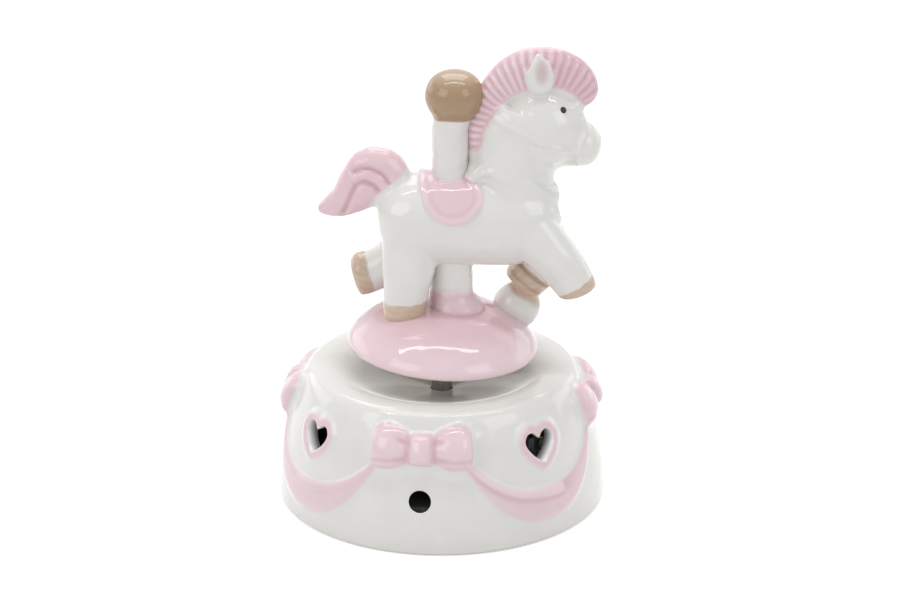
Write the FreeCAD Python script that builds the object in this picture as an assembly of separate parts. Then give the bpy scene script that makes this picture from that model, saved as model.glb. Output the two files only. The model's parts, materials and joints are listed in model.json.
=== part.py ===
"""Wind-up music box: a porcelain carousel horse that turns on a round base holding a pinned-cylinder movement.

Millimetres. The origin is the centre of the base's foot, +Z is up and -Y is the front, where one bow and
the vent hole are. The horse, its pole and the domed disc are laid out facing +X and turned a little at the end.
"""
import FreeCAD
import Part
import math
import os

V = FreeCAD.Vector
X_AXIS = V(1, 0, 0)
Y_AXIS = V(0, 1, 0)
Z_AXIS = V(0, 0, 1)

# Driving dimensions of the base
FOOT_RADIUS = 50.2
BASE_HEIGHT = 41.8
WALL_INSIDE = 34.0
RIM_RADIUS = 38.2
WELL_FLOOR = 33.2
CEILING = 30.6
SPINDLE_HOLE = 4.6
VENT_RADIUS = 3.3
VENT_HEIGHT = 16.6
HEART_WIDTH = 10.6
HEART_HEIGHT = 8.8
HEART_LEVEL = 28.3
HEART_RIM_GROWTH = 1.36
HEART_RIM_RAISE = 0.8
BOW_LEVEL = 32.0
GARLAND_RAISE = 1.3
SIDE_BOW_TURN = 95.0

# Driving dimensions of the turning figure
FIGURE_TURN = 7.5
DISC_RADIUS = 28.95
DISC_TOP = 60.4
DISC_LIP = 46.6
DISC_TILT = 3.4
DISC_WALL = 3.6
POLE_RADIUS = 5.7
POLE_UPPER_X = 2.6
POLE_LOWER_X = 3.6
FINIAL_X = 3.8
FINIAL_RADIUS = 8.6
FINIAL_HALF_HEIGHT = 7.6
FINIAL_LEVEL = 126.2
BODY_LEVEL = 88.0
BODY_WIDTH = 0.93
SADDLE_THICKNESS = 1.2

# Driving dimensions of the movement
PLATE_BOTTOM = 10.5
PLATE_TOP = 13.5
BED_TOP = 15.5
SPINDLE_RADIUS = 3.1
INSERT_RADIUS = 5.0
ARBOR_RADIUS = 2.5
RUNNING = 0.05
BARREL_BOTTOM = 17.6
BARREL_TOP = 27.4
DRUM_RADIUS = 11.2
DRUM_WALL = 1.0
FLANGE_RADIUS = 14.5
FLANGE_TOP = 20.0
FACE_TEETH = 40
PINION_TEETH = 10
FACE_MODULE = 0.65
FACE_RADIUS = FACE_TEETH * FACE_MODULE / 2
TRAIN_MODULE = 0.4
CYLINDER_TEETH = 30
GOVERNOR_TEETH = 10
WORM_MODULE = 0.5
WORM_WHEEL_TEETH = 12
WORM_RADIUS = 1.4
CYLINDER_RADIUS = 6.0
CYLINDER_START = 16.3
CYLINDER_END = 28.5
PIN_REACH = 6.75
TRACKS = 18
CYLINDER_LEVEL = FLANGE_TOP + 0.75 + PINION_TEETH * FACE_MODULE / 2
TRAIN_SPREAD = (CYLINDER_TEETH + GOVERNOR_TEETH) * TRAIN_MODULE / 2
WORM_WHEEL_RADIUS = WORM_WHEEL_TEETH * WORM_MODULE / 2
WORM_X = 33.5
WORM_Y = TRAIN_SPREAD + WORM_WHEEL_RADIUS + WORM_RADIUS
KEY_SPAN = 21.0
SCREW_SPOTS = [(-10.0, -15.5), (-10.0, 15.5), (34.0, -13.0)]


# Shared shape helpers
def box(low, high):
    """Axis-aligned block between two corners."""
    size = V(*high) - V(*low)
    return Part.makeBox(size.x, size.y, size.z, V(*low))


def rod(radius, foot, length, direction=Z_AXIS):
    """Round bar from foot along direction."""
    return Part.makeCylinder(radius, length, V(*foot), direction)


def arc(start, through, end):
    """Edge of a circle through three points."""
    return Part.Arc(V(*start), V(*through), V(*end)).toShape()


def line(start, end):
    """Straight edge."""
    return Part.LineSegment(V(*start), V(*end)).toShape()


def spline(points):
    """Smooth edge through points."""
    curve = Part.BSplineCurve()
    curve.interpolate([V(*p) for p in points])
    return curve.toShape()


def polygon_face(points):
    """Flat face with straight sides."""
    corners = [V(*p) for p in points]
    return Part.Face(Part.makePolygon(corners + corners[:1]))


def biggest(shape):
    """The largest solid that a cut leaves."""
    return max(shape.Solids, key=lambda solid: solid.Volume)


def less(shape, *others):
    """The largest solid of shape once the others are cut away."""
    for other in others:
        shape = shape.cut(other)
    return biggest(shape)


def joined(first, *others):
    """One solid out of several that overlap."""
    return biggest(first.fuse(list(others)).removeSplitter())


def section(half_one, half_two):
    """Smooth closed oval in the XY plane through eight points."""
    curve = Part.BSplineCurve()
    angles = [math.pi * i / 4 for i in range(8)]
    curve.interpolate(Points=[V(half_one * math.cos(a), half_two * math.sin(a), 0) for a in angles],
                      PeriodicFlag=True)
    return Part.Wire(curve.toShape())


def limb(path, halves):
    """Body lofted along path; halves gives each section's half size in the horse's plane and across it."""
    points = [V(*p) for p in path]
    wires = []
    for i, point in enumerate(points):
        before = points[max(i - 1, 0)]
        after = points[min(i + 1, len(points) - 1)]
        tangent = (after - before).normalize()
        sideways = Y_AXIS.cross(tangent).normalize()
        wire = section(*halves[i])
        wire.Placement = FreeCAD.Placement(point, FreeCAD.Rotation(sideways, tangent.cross(sideways), tangent, "ZXY"))
        wires.append(wire)
    return Part.makeLoft(wires, True, False)


def turned(profile, foot, head, width=1.0):
    """Body about the line from foot to head; profile is (share of length, radius); width scales it sideways."""
    foot, head = V(*foot), V(*head)
    path = [foot + (head - foot) * share for share, _ in profile]
    return limb(path, [(radius, radius * width) for _, radius in profile])


def ellipsoid(centre, halves):
    """Ball with three half sizes."""
    ball = Part.makeSphere(1.0)
    stretch = FreeCAD.Matrix()
    stretch.scale(*halves)
    ball = ball.transformGeometry(stretch)
    ball.Placement = FreeCAD.Placement(V(*centre), FreeCAD.Rotation())
    return ball


def facing(shape, degrees):
    """A copy turned about the base's axis."""
    copy = shape.copy()
    copy.rotate(V(0, 0, 0), Z_AXIS, degrees)
    return copy


# Base: a cast porcelain drum with a shallow cone in its top, pierced hearts, bows and ribbon garlands
def base_outside(grow=0.0):
    """Solid of the base's outer form, grown outwards by grow."""
    wall = [(FOOT_RADIUS, 1.2), (FOOT_RADIUS - 0.05, 6), (49.3, 14), (47.5, 22), (45.1, 30), (42.9, 36),
            (41.7, 39), (40.7, 40.7), (39.5, BASE_HEIGHT - 0.25), (RIM_RADIUS, BASE_HEIGHT)]
    wall = [(r + grow, 0, z) for r, z in wall]
    foot = line((FOOT_RADIUS - 1.0 + grow, 0, 0), wall[0])
    sole = line((0, 0, 0), (FOOT_RADIUS - 1.0 + grow, 0, 0))
    brim = line(wall[-1], (0, 0, BASE_HEIGHT))
    axis = line((0, 0, BASE_HEIGHT), (0, 0, 0))
    face = Part.Face(Part.Wire([sole, foot, spline(wall), brim, axis]))
    return face.revolve(V(0, 0, 0), Z_AXIS, 360)


def inner_radius(z):
    """Radius of the straight cone inside the wall, where the bottom plate wedges."""
    return 46.15 - 0.115 * (z - 8.0)


def base_hollow():
    """The room inside the base, open at the foot."""
    cone_top = (inner_radius(17), 0, 17)
    wall = [cone_top, (44.0, 0, 23), (42.1, 0, 29), (40.6, 0, 33), (38.8, 0, 36.6), (35.8, 0, 38.5)]
    roof = [wall[-1], (33.4, 0, 38.6), (31, 0, 38.0), (26, 0, 36.5), (18, 0, 34.1), (12, 0, 32.2),
            (8.4, 0, CEILING + 0.4), (6.5, 0, CEILING)]
    edges = [line((0, 0, 0), (inner_radius(0), 0, 0)), line((inner_radius(0), 0, 0), cone_top), spline(wall),
             spline(roof), line(roof[-1], (0, 0, CEILING)), line((0, 0, CEILING), (0, 0, 0))]
    return Part.Face(Part.Wire(edges)).revolve(V(0, 0, 0), Z_AXIS, 360)


def base_well():
    """Shallow cone sunk in the base's top under the disc, inside a broad flat ledge."""
    slope = [(5, 0, WELL_FLOOR + 0.2), (10, 0, 34.9), (18, 0, 37.3), (26, 0, 39.7), (28.4, 0, 40.4), (30.2, 0, 41.0),
             (31.8, 0, 41.5), (33.6, 0, BASE_HEIGHT), (35.4, 0, BASE_HEIGHT + 0.4)]
    lid = BASE_HEIGHT + 0.4
    edges = [line((0, 0, WELL_FLOOR), slope[0]), spline(slope), line(slope[-1], (0, 0, lid)),
             line((0, 0, lid), (0, 0, WELL_FLOOR))]
    return Part.Face(Part.Wire(edges)).revolve(V(0, 0, 0), Z_AXIS, 360)


def heart_face(grow=1.0):
    """Heart outline standing in the XZ plane, centred on the heart's level."""
    w, h, z = HEART_WIDTH * grow, HEART_HEIGHT * grow, HEART_LEVEL
    edges = []
    for side in (1, -1):
        dip, lobe, flank = (0, 0, z + 0.28 * h), (side * 0.27 * w, 0, z + 0.5 * h), (side * 0.5 * w, 0, z + 0.2 * h)
        edges.append(arc(dip, lobe, flank))
        edges.append(arc(flank, (side * 0.33 * w, 0, z - 0.19 * h), (0, 0, z - 0.5 * h)))
    return Part.Face(Part.Wire(Part.__sortEdges__(edges)))


def outward_prism(face):
    """A face of the XZ plane drawn out towards the front, from inside the wall to well outside it."""
    start = face.copy()
    start.translate(V(0, -WALL_INSIDE, 0))
    return start.extrude(V(0, WALL_INSIDE - FOOT_RADIUS - 10, 0))


def between_bows():
    """Directions midway between neighbouring bows: the two at the front, then the two at the back."""
    front, back = SIDE_BOW_TURN / 2, 90 + SIDE_BOW_TURN / 2
    return [front, -front, back, -back]


def base_shell(outside):
    """Porcelain shell with its vent, hearts and spindle hole."""
    shell = outside.cut(base_hollow()).cut(base_well())
    shell = shell.cut(rod(SPINDLE_HOLE, (0, 0, CEILING - 1), BASE_HEIGHT))
    shell = shell.cut(rod(VENT_RADIUS, (0, 0, VENT_HEIGHT), FOOT_RADIUS + 5, V(0, -1, 0)))
    heart = outward_prism(heart_face())
    for turn in between_bows():
        shell = shell.cut(facing(heart, turn))
    return biggest(shell)


def bow(outside):
    """Puffed ribbon bow on the front: two loops drawn in to a knot, leaning with the wall."""
    reach, lean = 44.8, -19.0
    half = [(0, 5.2, 4.9), (2.4, 4.7, 4.6), (4.4, 3.8, 3.5), (6.6, 5.4, 4.5), (9.6, 7.0, 5.1), (12.6, 6.8, 4.5),
            (14.6, 4.8, 2.6), (15.3, 2.0, 1.0)]
    stations = [(-along, up, out) for along, up, out in reversed(half[1:])] + half
    path = [(reach * math.sin(along / reach), -reach * math.cos(along / reach), BOW_LEVEL) for along, _, _ in stations]
    ribbon = limb(path, [(up, out) for _, up, out in stations])
    ribbon.rotate(V(0, -reach, BOW_LEVEL), X_AXIS, lean)
    return less(ribbon, outside)


def garland(outside, raised):
    """Ribbon swag between two bows, hung under the heart on the front."""
    reach, top, sag, drop = 23.4, 28.0, 11.8, 9.8
    upper = arc((-reach, 0, top), (0, 0, top - sag), (reach, 0, top))
    right = line((reach, 0, top), (reach, 0, top - 3.6))
    lower = arc((reach, 0, top - 3.6), (0, 0, top - sag - drop), (-reach, 0, top - 3.6))
    left = line((-reach, 0, top - 3.6), (-reach, 0, top))
    band = outward_prism(Part.Face(Part.Wire([upper, right, lower, left])))
    return less(raised.common(band), outside)


def heart_rim(outside, raised):
    """Raised border round one heart on the front."""
    ring = heart_face(HEART_RIM_GROWTH).cut(heart_face()).Faces[0]
    return less(raised.common(outward_prism(ring)), outside)


def base_parts():
    """The porcelain of the base and what is modelled on it."""
    outside = base_outside()
    front_bow = bow(outside)
    swag = garland(outside, base_outside(GARLAND_RAISE))
    rim = heart_rim(outside, base_outside(HEART_RIM_RAISE))
    parts = {"base_shell": base_shell(outside)}
    for turn, name in ((0, "front"), (SIDE_BOW_TURN, "right"), (180, "back"), (-SIDE_BOW_TURN, "left")):
        parts["bow_" + name] = facing(front_bow, turn)
    bows = [parts["bow_" + name] for name in ("front", "right", "back", "left")]
    parts["garlands"] = Part.makeCompound([less(facing(swag, turn), *bows) for turn in between_bows()])
    parts["heart_rims"] = Part.makeCompound([facing(rim, turn) for turn in between_bows()])
    return parts


# Figure: domed disc, pole and horse, each smaller casting luted onto the larger one it meets
def disc():
    """Domed turntable, hollow below, with a hub for the spindle's insert."""
    crown = [(0, 0, DISC_TOP), (8, 0, DISC_TOP - 0.2), (16, 0, 58.9), (22, 0, 56.1), (26.2, 0, 52.7), (28.2, 0, 50.2),
             (DISC_RADIUS, 0, 48.5), (DISC_RADIUS - 0.3, 0, 47.3), (DISC_RADIUS - 1.2, 0, DISC_LIP)]
    inside = [(DISC_RADIUS - 4.0, 0, DISC_LIP), (DISC_RADIUS - 4.4, 0, 49.0), (19, 0, 53.4), (9, 0, 55.6)]
    hub = [(9, 0, 55.6), (8, 0, DISC_LIP), (0, 0, DISC_LIP), (0, 0, DISC_TOP)]
    edges = [spline(crown), line(crown[-1], inside[0]), spline(inside)]
    edges += [line(a, b) for a, b in zip(hub, hub[1:])]
    solid = Part.Face(Part.Wire(edges)).revolve(V(0, 0, 0), Z_AXIS, 360)
    solid.rotate(V(0, 0, 50), Y_AXIS, DISC_TILT)
    return solid


def torso(grow=0.0):
    """Barrel of the horse from rump to chest."""
    profile = [(0, 2.4), (0.03, 7.0), (0.1, 11.2), (0.22, 13.9), (0.37, 14.4), (0.54, 14.4), (0.72, 14.6),
               (0.85, 13.0), (0.95, 8.6), (1, 2.6)]
    profile = [(share, radius + grow) for share, radius in profile]
    return turned(profile, (-19.2 - grow, 0, BODY_LEVEL - 0.6), (35.3 + grow, 0, BODY_LEVEL + 1.2), BODY_WIDTH)


def neck():
    """Thick arched neck."""
    path = [(20.2, 0, 90), (21.5, 0, 101), (21.7, 0, 109), (23.2, 0, 116), (25.2, 0, 122)]
    return limb(path, [(13.0, 11.5), (12.0, 10.2), (12.2, 9.6), (11.6, 9.2), (9.0, 7.5)])


def head():
    """Skull and blunt muzzle."""
    skull = ellipsoid((30, 0, 115.8), (12.3, 9.8, 12.9))
    muzzle = turned([(0, 4.0), (0.2, 6.6), (0.5, 7.3), (0.76, 6.7), (0.93, 4.6), (1, 1.6)],
                    (33, 0, 111.2), (47.5, 0, 111.2), 0.95)
    return joined(skull, muzzle)


def ear(side):
    """Pointed ear standing on the skull."""
    profile = [(0, 3.0), (0.3, 4.2), (0.62, 3.0), (0.88, 1.3), (1, 0.4)]
    return turned(profile, (29.2, side * 4.9, 128.0), (28.4, side * 5.3, 141.0), 0.55)


def mane():
    """Crest of hair from the withers over the poll to the forehead."""
    path = [(9.6, 0, 108.6), (10.4, 0, 115.5), (13.1, 0, 123.4), (18.6, 0, 130.0), (25.0, 0, 133.0),
            (31.6, 0, 133.6), (37.8, 0, 131.3), (41.6, 0, 127.4), (42.2, 0, 124.2)]
    halves = [(1.4, 2.4), (2.9, 3.0), (4.5, 3.5), (7.1, 3.9), (8.6, 4.1), (8.3, 4.1), (6.8, 3.8), (4.4, 3.0),
              (1.0, 1.0)]
    return limb(path, halves)


def tail():
    """Arched tail swept back to a point."""
    path = [(-11.5, 0, 95.5), (-18.6, 0, 101.4), (-25.0, 0, 99.2), (-29.8, 0, 95.2), (-33.8, 0, 92.4),
            (-37.0, 0, 91.0)]
    return limb(path, [(6.6, 4.6), (9.3, 5.0), (8.8, 4.8), (6.4, 4.0), (3.4, 2.8), (0.8, 0.8)])


def saddle(barrel):
    """Blanket draped over the back, with a rounded flap on each flank."""
    flap = [line((12.4, 0, 106), (-6.2, 0, 106)), line((-6.2, 0, 106), (-5.6, 0, 96)),
            arc((-5.6, 0, 96), (3.6, 0, 85.0), (12.4, 0, 96)), line((12.4, 0, 96), (12.4, 0, 106))]
    prism = Part.Face(Part.Wire(flap)).extrude(V(0, 50, 0))
    prism.translate(V(0, -25, 0))
    return less(torso(SADDLE_THICKNESS).common(prism), barrel)


def legs():
    """Near hind standing, far hind thrown back, near fore raised, far fore folded."""
    near_hind = limb([(-9.0, -4.8, 86), (-10.6, -7.0, 74), (-10.9, -7.2, 64), (-11.0, -7.2, 58.6),
                      (-11.0, -7.2, 57.6)], [(7.8, 5.6), (7.4, 6.6), (6.9, 6.5), (6.8, 6.5), (6.0, 5.8)])
    far_hind = limb([(-8.0, 4.8, 86), (-12.0, 7.0, 75), (-18.6, 7.8, 69.4), (-25.8, 8.0, 67.6),
                     (-26.8, 8.0, 67.3)], [(7.6, 5.6), (7.2, 6.4), (6.4, 6.2), (6.3, 6.0), (5.4, 5.2)])
    near_fore = limb([(25.0, -5.4, 88), (31.2, -7.0, 82.4), (36.2, -7.8, 76.2), (40.4, -8.0, 69.0),
                      (41.0, -8.0, 68.0)], [(9.6, 6.6), (8.6, 6.6), (7.4, 6.5), (6.4, 6.2), (5.6, 5.4)])
    far_fore = limb([(26.4, 5.4, 86), (32.4, 7.0, 79), (31.6, 7.8, 71.6), (25.4, 8.0, 64.2),
                     (24.6, 8.0, 63.4)], [(8.6, 6.4), (7.4, 6.4), (6.8, 6.4), (6.2, 6.2), (5.4, 5.4)])
    return near_hind, far_hind, near_fore, far_fore


def finial():
    """Flattened ball at the top of the pole, drawn in to the pole's own size below."""
    drop = FINIAL_HALF_HEIGHT * math.sqrt(1 - (POLE_RADIUS / FINIAL_RADIUS) ** 2)
    ball = ellipsoid((FINIAL_X, 0, FINIAL_LEVEL), (FINIAL_RADIUS, FINIAL_RADIUS, FINIAL_HALF_HEIGHT))
    return less(ball, box((-30, -30, 90), (30, 30, FINIAL_LEVEL - drop)))


def figure_parts():
    """Disc, pole and horse as castings that meet face to face."""
    plate = disc()
    barrel = torso()
    throat = less(neck(), barrel)
    face = less(head(), neck(), barrel)
    near_hind, far_hind, near_fore, far_fore = legs()
    knob = finial()
    upper = less(rod(POLE_RADIUS, (POLE_UPPER_X, 0, 96), 27.0), torso(SADDLE_THICKNESS), knob)
    lower = less(rod(POLE_RADIUS, (POLE_LOWER_X, 0, 52), 30), barrel, plate)
    ring = ellipsoid((5.2, 0, 60.2), (8.2, 8.2, 3.8))
    crest = less(mane(), throat, face, knob, upper)
    blanket = less(saddle(barrel), neck(), upper)
    parts = {
        "turntable_disc": plate,
        "pole_collar": less(ring, lower, plate),
        "pole_lower": lower,
        "pole_upper": upper,
        "pole_finial": knob,
        "horse_torso": barrel,
        "horse_neck": throat,
        "horse_head": face,
        "horse_ears": Part.makeCompound([less(ear(side), face, throat, crest) for side in (-1, 1)]),
        "horse_mane": crest,
        "horse_tail": less(tail(), barrel, blanket),
        "saddle": blanket,
        "leg_near_hind": less(near_hind, barrel, plate, lower),
        "leg_far_hind": less(far_hind, barrel, plate),
        "leg_near_fore": less(near_fore, barrel),
        "leg_far_fore": less(far_fore, barrel, near_fore),
    }
    parts["hoof_prop"] = less(ellipsoid((23.3, 8.0, 57.0), (7.0, 6.4, 7.2)), plate, far_fore)
    return {name: facing(shape, FIGURE_TURN) for name, shape in parts.items()}


# Movement: a spring barrel on the base's axis drives a pinned cylinder and a fan governor
def gear_outline(teeth, module, backlash, addendum=0.9, dedendum=1.15, first=0.0):
    """Closed outline of an involute gear in the XY plane, with thinned teeth; first is one tooth's angle."""
    pitch = teeth * module / 2
    base = pitch * math.cos(math.radians(20))
    root, tip = pitch - dedendum * module, pitch + addendum * module
    half_pitch = (math.pi * module / 2 - backlash) / 2 / pitch

    def half_angle(radius):
        """Half of a tooth's angle at a radius."""
        roll = math.sqrt(max((radius / base) ** 2 - 1, 0))
        start = math.tan(math.radians(20)) - math.radians(20)
        return half_pitch + start - (roll - math.atan(roll))

    flank = [root] + [max(base, root) + (tip - max(base, root)) * step / 4 for step in (0, 1, 2, 3, 4)]
    points = []
    for tooth in range(teeth):
        middle = math.radians(first) + 2 * math.pi * tooth / teeth
        for radius, side in [(r, -1) for r in flank] + [(r, 1) for r in reversed(flank)]:
            angle = middle + side * half_angle(radius)
            points.append((radius * math.cos(angle), radius * math.sin(angle), 0))
    return points


def gear(outline, bore, thickness, foot, along_x=False):
    """Flat gear on its arbor; along_x lays it with its axis on X and its first tooth towards +Y."""
    solid = polygon_face(outline).extrude(V(0, 0, thickness))
    if bore:
        solid = solid.cut(rod(bore, (0, 0, 0), thickness))
    if along_x:
        solid.Placement = FreeCAD.Placement(V(0, 0, 0), FreeCAD.Rotation(Y_AXIS, Z_AXIS, X_AXIS, "ZXY"))
    solid.translate(V(*foot))
    return biggest(solid)


def barrel_parts():
    """Spring barrel with its face gear, cover, spring and the spindle that carries the disc."""
    flange = rod(FLANGE_RADIUS, (0, 0, BARREL_BOTTOM), FLANGE_TOP - BARREL_BOTTOM)
    drum = rod(DRUM_RADIUS, (0, 0, BARREL_BOTTOM), BARREL_TOP - BARREL_BOTTOM)
    thin = 0.13
    low, high = math.pi * FACE_MODULE / 4 - thin + 0.27, math.pi * FACE_MODULE / 4 - thin - 0.21
    tooth = polygon_face([(11.6, -low, FLANGE_TOP - 0.3), (11.6, low, FLANGE_TOP - 0.3),
                          (11.6, high, FLANGE_TOP + 1.3), (11.6, -high, FLANGE_TOP + 1.3)])
    tooth = tooth.extrude(V(2.7, 0, 0))
    ring = [facing(tooth, 360 * i / FACE_TEETH) for i in range(FACE_TEETH)]
    case = joined(flange, drum, *ring)
    case = case.cut(rod(DRUM_RADIUS - DRUM_WALL, (0, 0, 19.2), 20)).cut(rod(ARBOR_RADIUS + RUNNING, (0, 0, 0), 40))
    cover = joined(rod(DRUM_RADIUS, (0, 0, BARREL_TOP), 1.2), rod(3.9, (0, 0, BARREL_TOP + 0.6), 3.9))
    cover = cover.cut(rod(1.5 + RUNNING, (0, 0, BARREL_TOP - 1), 2.0))
    cover = cover.cut(rod(SPINDLE_RADIUS, (0, 0, BARREL_TOP + 1.6), 8))
    spindle = rod(SPINDLE_RADIUS, (0, 0, BARREL_TOP + 1.6), 26.4)
    return {"spring_barrel": biggest(case), "barrel_cover": biggest(cover), "mainspring": mainspring(),
            "spindle": spindle}


def mainspring():
    """Flat strip coiled in the barrel from half-turn arcs."""
    strip, inner, gain, halves = 0.35, 3.6, 0.48, 13
    outer_path, inner_path = [], []
    for i in range(halves):
        side = 1 if i % 2 == 0 else -1
        near, far = inner + gain * i, inner + gain * (i + 1)
        centre = side * (near - far) / 2
        for path, shift in ((outer_path, strip), (inner_path, 0)):
            reach = (near + far) / 2 + shift
            path.append(arc((centre + side * reach, 0, 0), (centre, side * reach, 0), (centre - side * reach, 0, 0)))
    caps = [line(inner_path[0].Vertexes[0].Point, outer_path[0].Vertexes[0].Point),
            line(inner_path[-1].Vertexes[1].Point, outer_path[-1].Vertexes[1].Point)]
    face = Part.Face(Part.Wire(Part.__sortEdges__(outer_path + inner_path + caps)))
    coil = face.extrude(V(0, 0, 6.4))
    coil.translate(V(0, 0, 20.0))
    return coil


def winder_parts():
    """Winding arbor, ratchet wheel and the butterfly key under the base."""
    arbor = joined(rod(ARBOR_RADIUS, (0, 0, 5.0), BARREL_TOP - 5.6), rod(1.5, (0, 0, BARREL_TOP - 1), 1.9),
                   rod(3.0, (0, 0, 19.5), 6.8))
    saw = []
    for tooth in range(12):
        for radius, share in ((6.0, 0.0), (4.9, 0.02)):
            angle = 2 * math.pi * (tooth + share) / 12
            saw.append((radius * math.cos(angle), radius * math.sin(angle), 0))
    ratchet = polygon_face(saw).extrude(V(0, 0, 1.2)).cut(rod(ARBOR_RADIUS, (0, 0, 0), 2))
    ratchet.translate(V(0, 0, 16.0))
    half = KEY_SPAN / 2
    outline = [line((2.0, 0, 8.6), (2.0, 0, 3.4)), arc((2.0, 0, 3.4), (half - 3.4, 0, 1.4), (half, 0, 5.0)),
               arc((half, 0, 5.0), (half - 3.4, 0, 8.9), (2.0, 0, 8.6))]
    wing = Part.Face(Part.Wire(outline)).extrude(V(0, 2.0, 0))
    wing.translate(V(0, -1.0, 0))
    key = joined(rod(3.6, (0, 0, 2.6), 7.2), wing, facing(wing, 180))
    key = key.cut(rod(ARBOR_RADIUS, (0, 0, 5.0), 20))
    return {"winding_arbor": arbor, "ratchet_wheel": biggest(ratchet), "winding_key": biggest(key)}


def frame_parts():
    """Bottom plate, bedplate, bearings, comb and their screws."""
    low, high = inner_radius(PLATE_BOTTOM), inner_radius(PLATE_TOP)
    plate = Part.makeCone(low, high, PLATE_TOP - PLATE_BOTTOM, V(0, 0, PLATE_BOTTOM))
    bed = box((-15.5, -22.5, PLATE_TOP), (38.5, 21.5, BED_TOP)).common(rod(42.0, (0, 0, 0), 40))
    plate = plate.cut(rod(5.0, (0, 0, 0), 40))
    bed = bed.cut(rod(ARBOR_RADIUS + RUNNING, (0, 0, 0), 40))
    screws = []
    for x, y in SCREW_SPOTS:
        head_blank = rod(2.8, (x, y, PLATE_BOTTOM - 1.8), 1.8)
        slot = box((x - 4, y - 0.4, PLATE_BOTTOM - 1.8), (x + 4, y + 0.4, PLATE_BOTTOM - 1.0))
        screws.append(joined(head_blank.cut(slot), rod(1.5, (x, y, PLATE_BOTTOM - 0.5), 5.5)))
        plate = plate.cut(rod(1.7, (x, y, 0), 40))
        bed = bed.cut(rod(1.5, (x, y, 0), 40))
    bearing = box((14.9, -4.0, BED_TOP), (16.0, 4.0, 26.5)).cut(rod(1.06, (10, 0, CYLINDER_LEVEL), 40, X_AXIS))
    return {"bottom_plate": biggest(plate), "bedplate": biggest(bed), "movement_screws": Part.makeCompound(screws),
            "cylinder_bearing": biggest(bearing)}


def governor_frames():
    """Folded frame for the train's arbors and the bridge over the fan."""
    foot = box((29.0, -5.0, BED_TOP), (36.0, 11.0, BED_TOP + 1.0))
    cheeks = [box((29.0, -5.0, BED_TOP), (30.0, 10.4, 26.6)), box((35.0, -5.0, BED_TOP), (36.0, 10.4, 26.6))]
    frame = joined(foot, *cheeks)
    frame = frame.cut(rod(1.06, (10, 0, CYLINDER_LEVEL), 40, X_AXIS))
    frame = frame.cut(rod(0.76, (10, TRAIN_SPREAD, CYLINDER_LEVEL), 40, X_AXIS))
    post = box((WORM_X - 1.5, 17.0, BED_TOP), (WORM_X + 1.5, 18.0, 31.8))
    shoe = box((WORM_X - 1.5, 11.4, BED_TOP), (WORM_X + 1.5, 18.0, BED_TOP + 1.0))
    arm = box((WORM_X - 1.5, 10.6, 31.0), (WORM_X + 1.5, 18.0, 31.8))
    bridge = joined(post, shoe.cut(foot), arm).cut(rod(0.66, (WORM_X, WORM_Y, 0), 50))
    return {"governor_frame": biggest(frame), "governor_bridge": biggest(bridge)}


def cylinder_parts():
    """Pinned cylinder with its arbor, driving pinion and train gear."""
    drum = rod(CYLINDER_RADIUS, (CYLINDER_START, 0, CYLINDER_LEVEL), CYLINDER_END - CYLINDER_START, X_AXIS)
    hollow = rod(CYLINDER_RADIUS - 0.9, (CYLINDER_START + 1, 0, CYLINDER_LEVEL),
                 CYLINDER_END - CYLINDER_START - 2, X_AXIS)
    drum = drum.cut(hollow).cut(rod(1.0, (0, 0, CYLINDER_LEVEL), 60, X_AXIS))
    pins = []
    pitch = (CYLINDER_END - CYLINDER_START - 1.2) / TRACKS
    for track in range(TRACKS):
        x = CYLINDER_START + 0.6 + pitch * (track + 0.5)
        for note in range(4):
            pin = box((x - 0.14, -0.14, CYLINDER_RADIUS - 0.6), (x + 0.14, 0.14, PIN_REACH))
            pin.rotate(V(0, 0, 0), X_AXIS, 47.0 * track + 85.0 * note + 13.0)
            pin.translate(V(0, 0, CYLINDER_LEVEL))
            pins.append(pin)
    arbor = rod(1.0, (11.4, 0, CYLINDER_LEVEL), 25.2, X_AXIS)
    pinion = gear(gear_outline(PINION_TEETH, FACE_MODULE, 0.16, 0.85, 1.1), 1.0, 1.6,
                  (FACE_RADIUS - 0.8, 0, CYLINDER_LEVEL), True)
    wheel = gear(gear_outline(CYLINDER_TEETH, TRAIN_MODULE, 0.08), 1.0, 1.2, (30.7, 0, CYLINDER_LEVEL), True)
    return {"cylinder_drum": biggest(drum), "cylinder_pins": Part.makeCompound(pins), "cylinder_arbor": arbor,
            "drive_pinion": pinion, "cylinder_gear": wheel}


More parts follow.
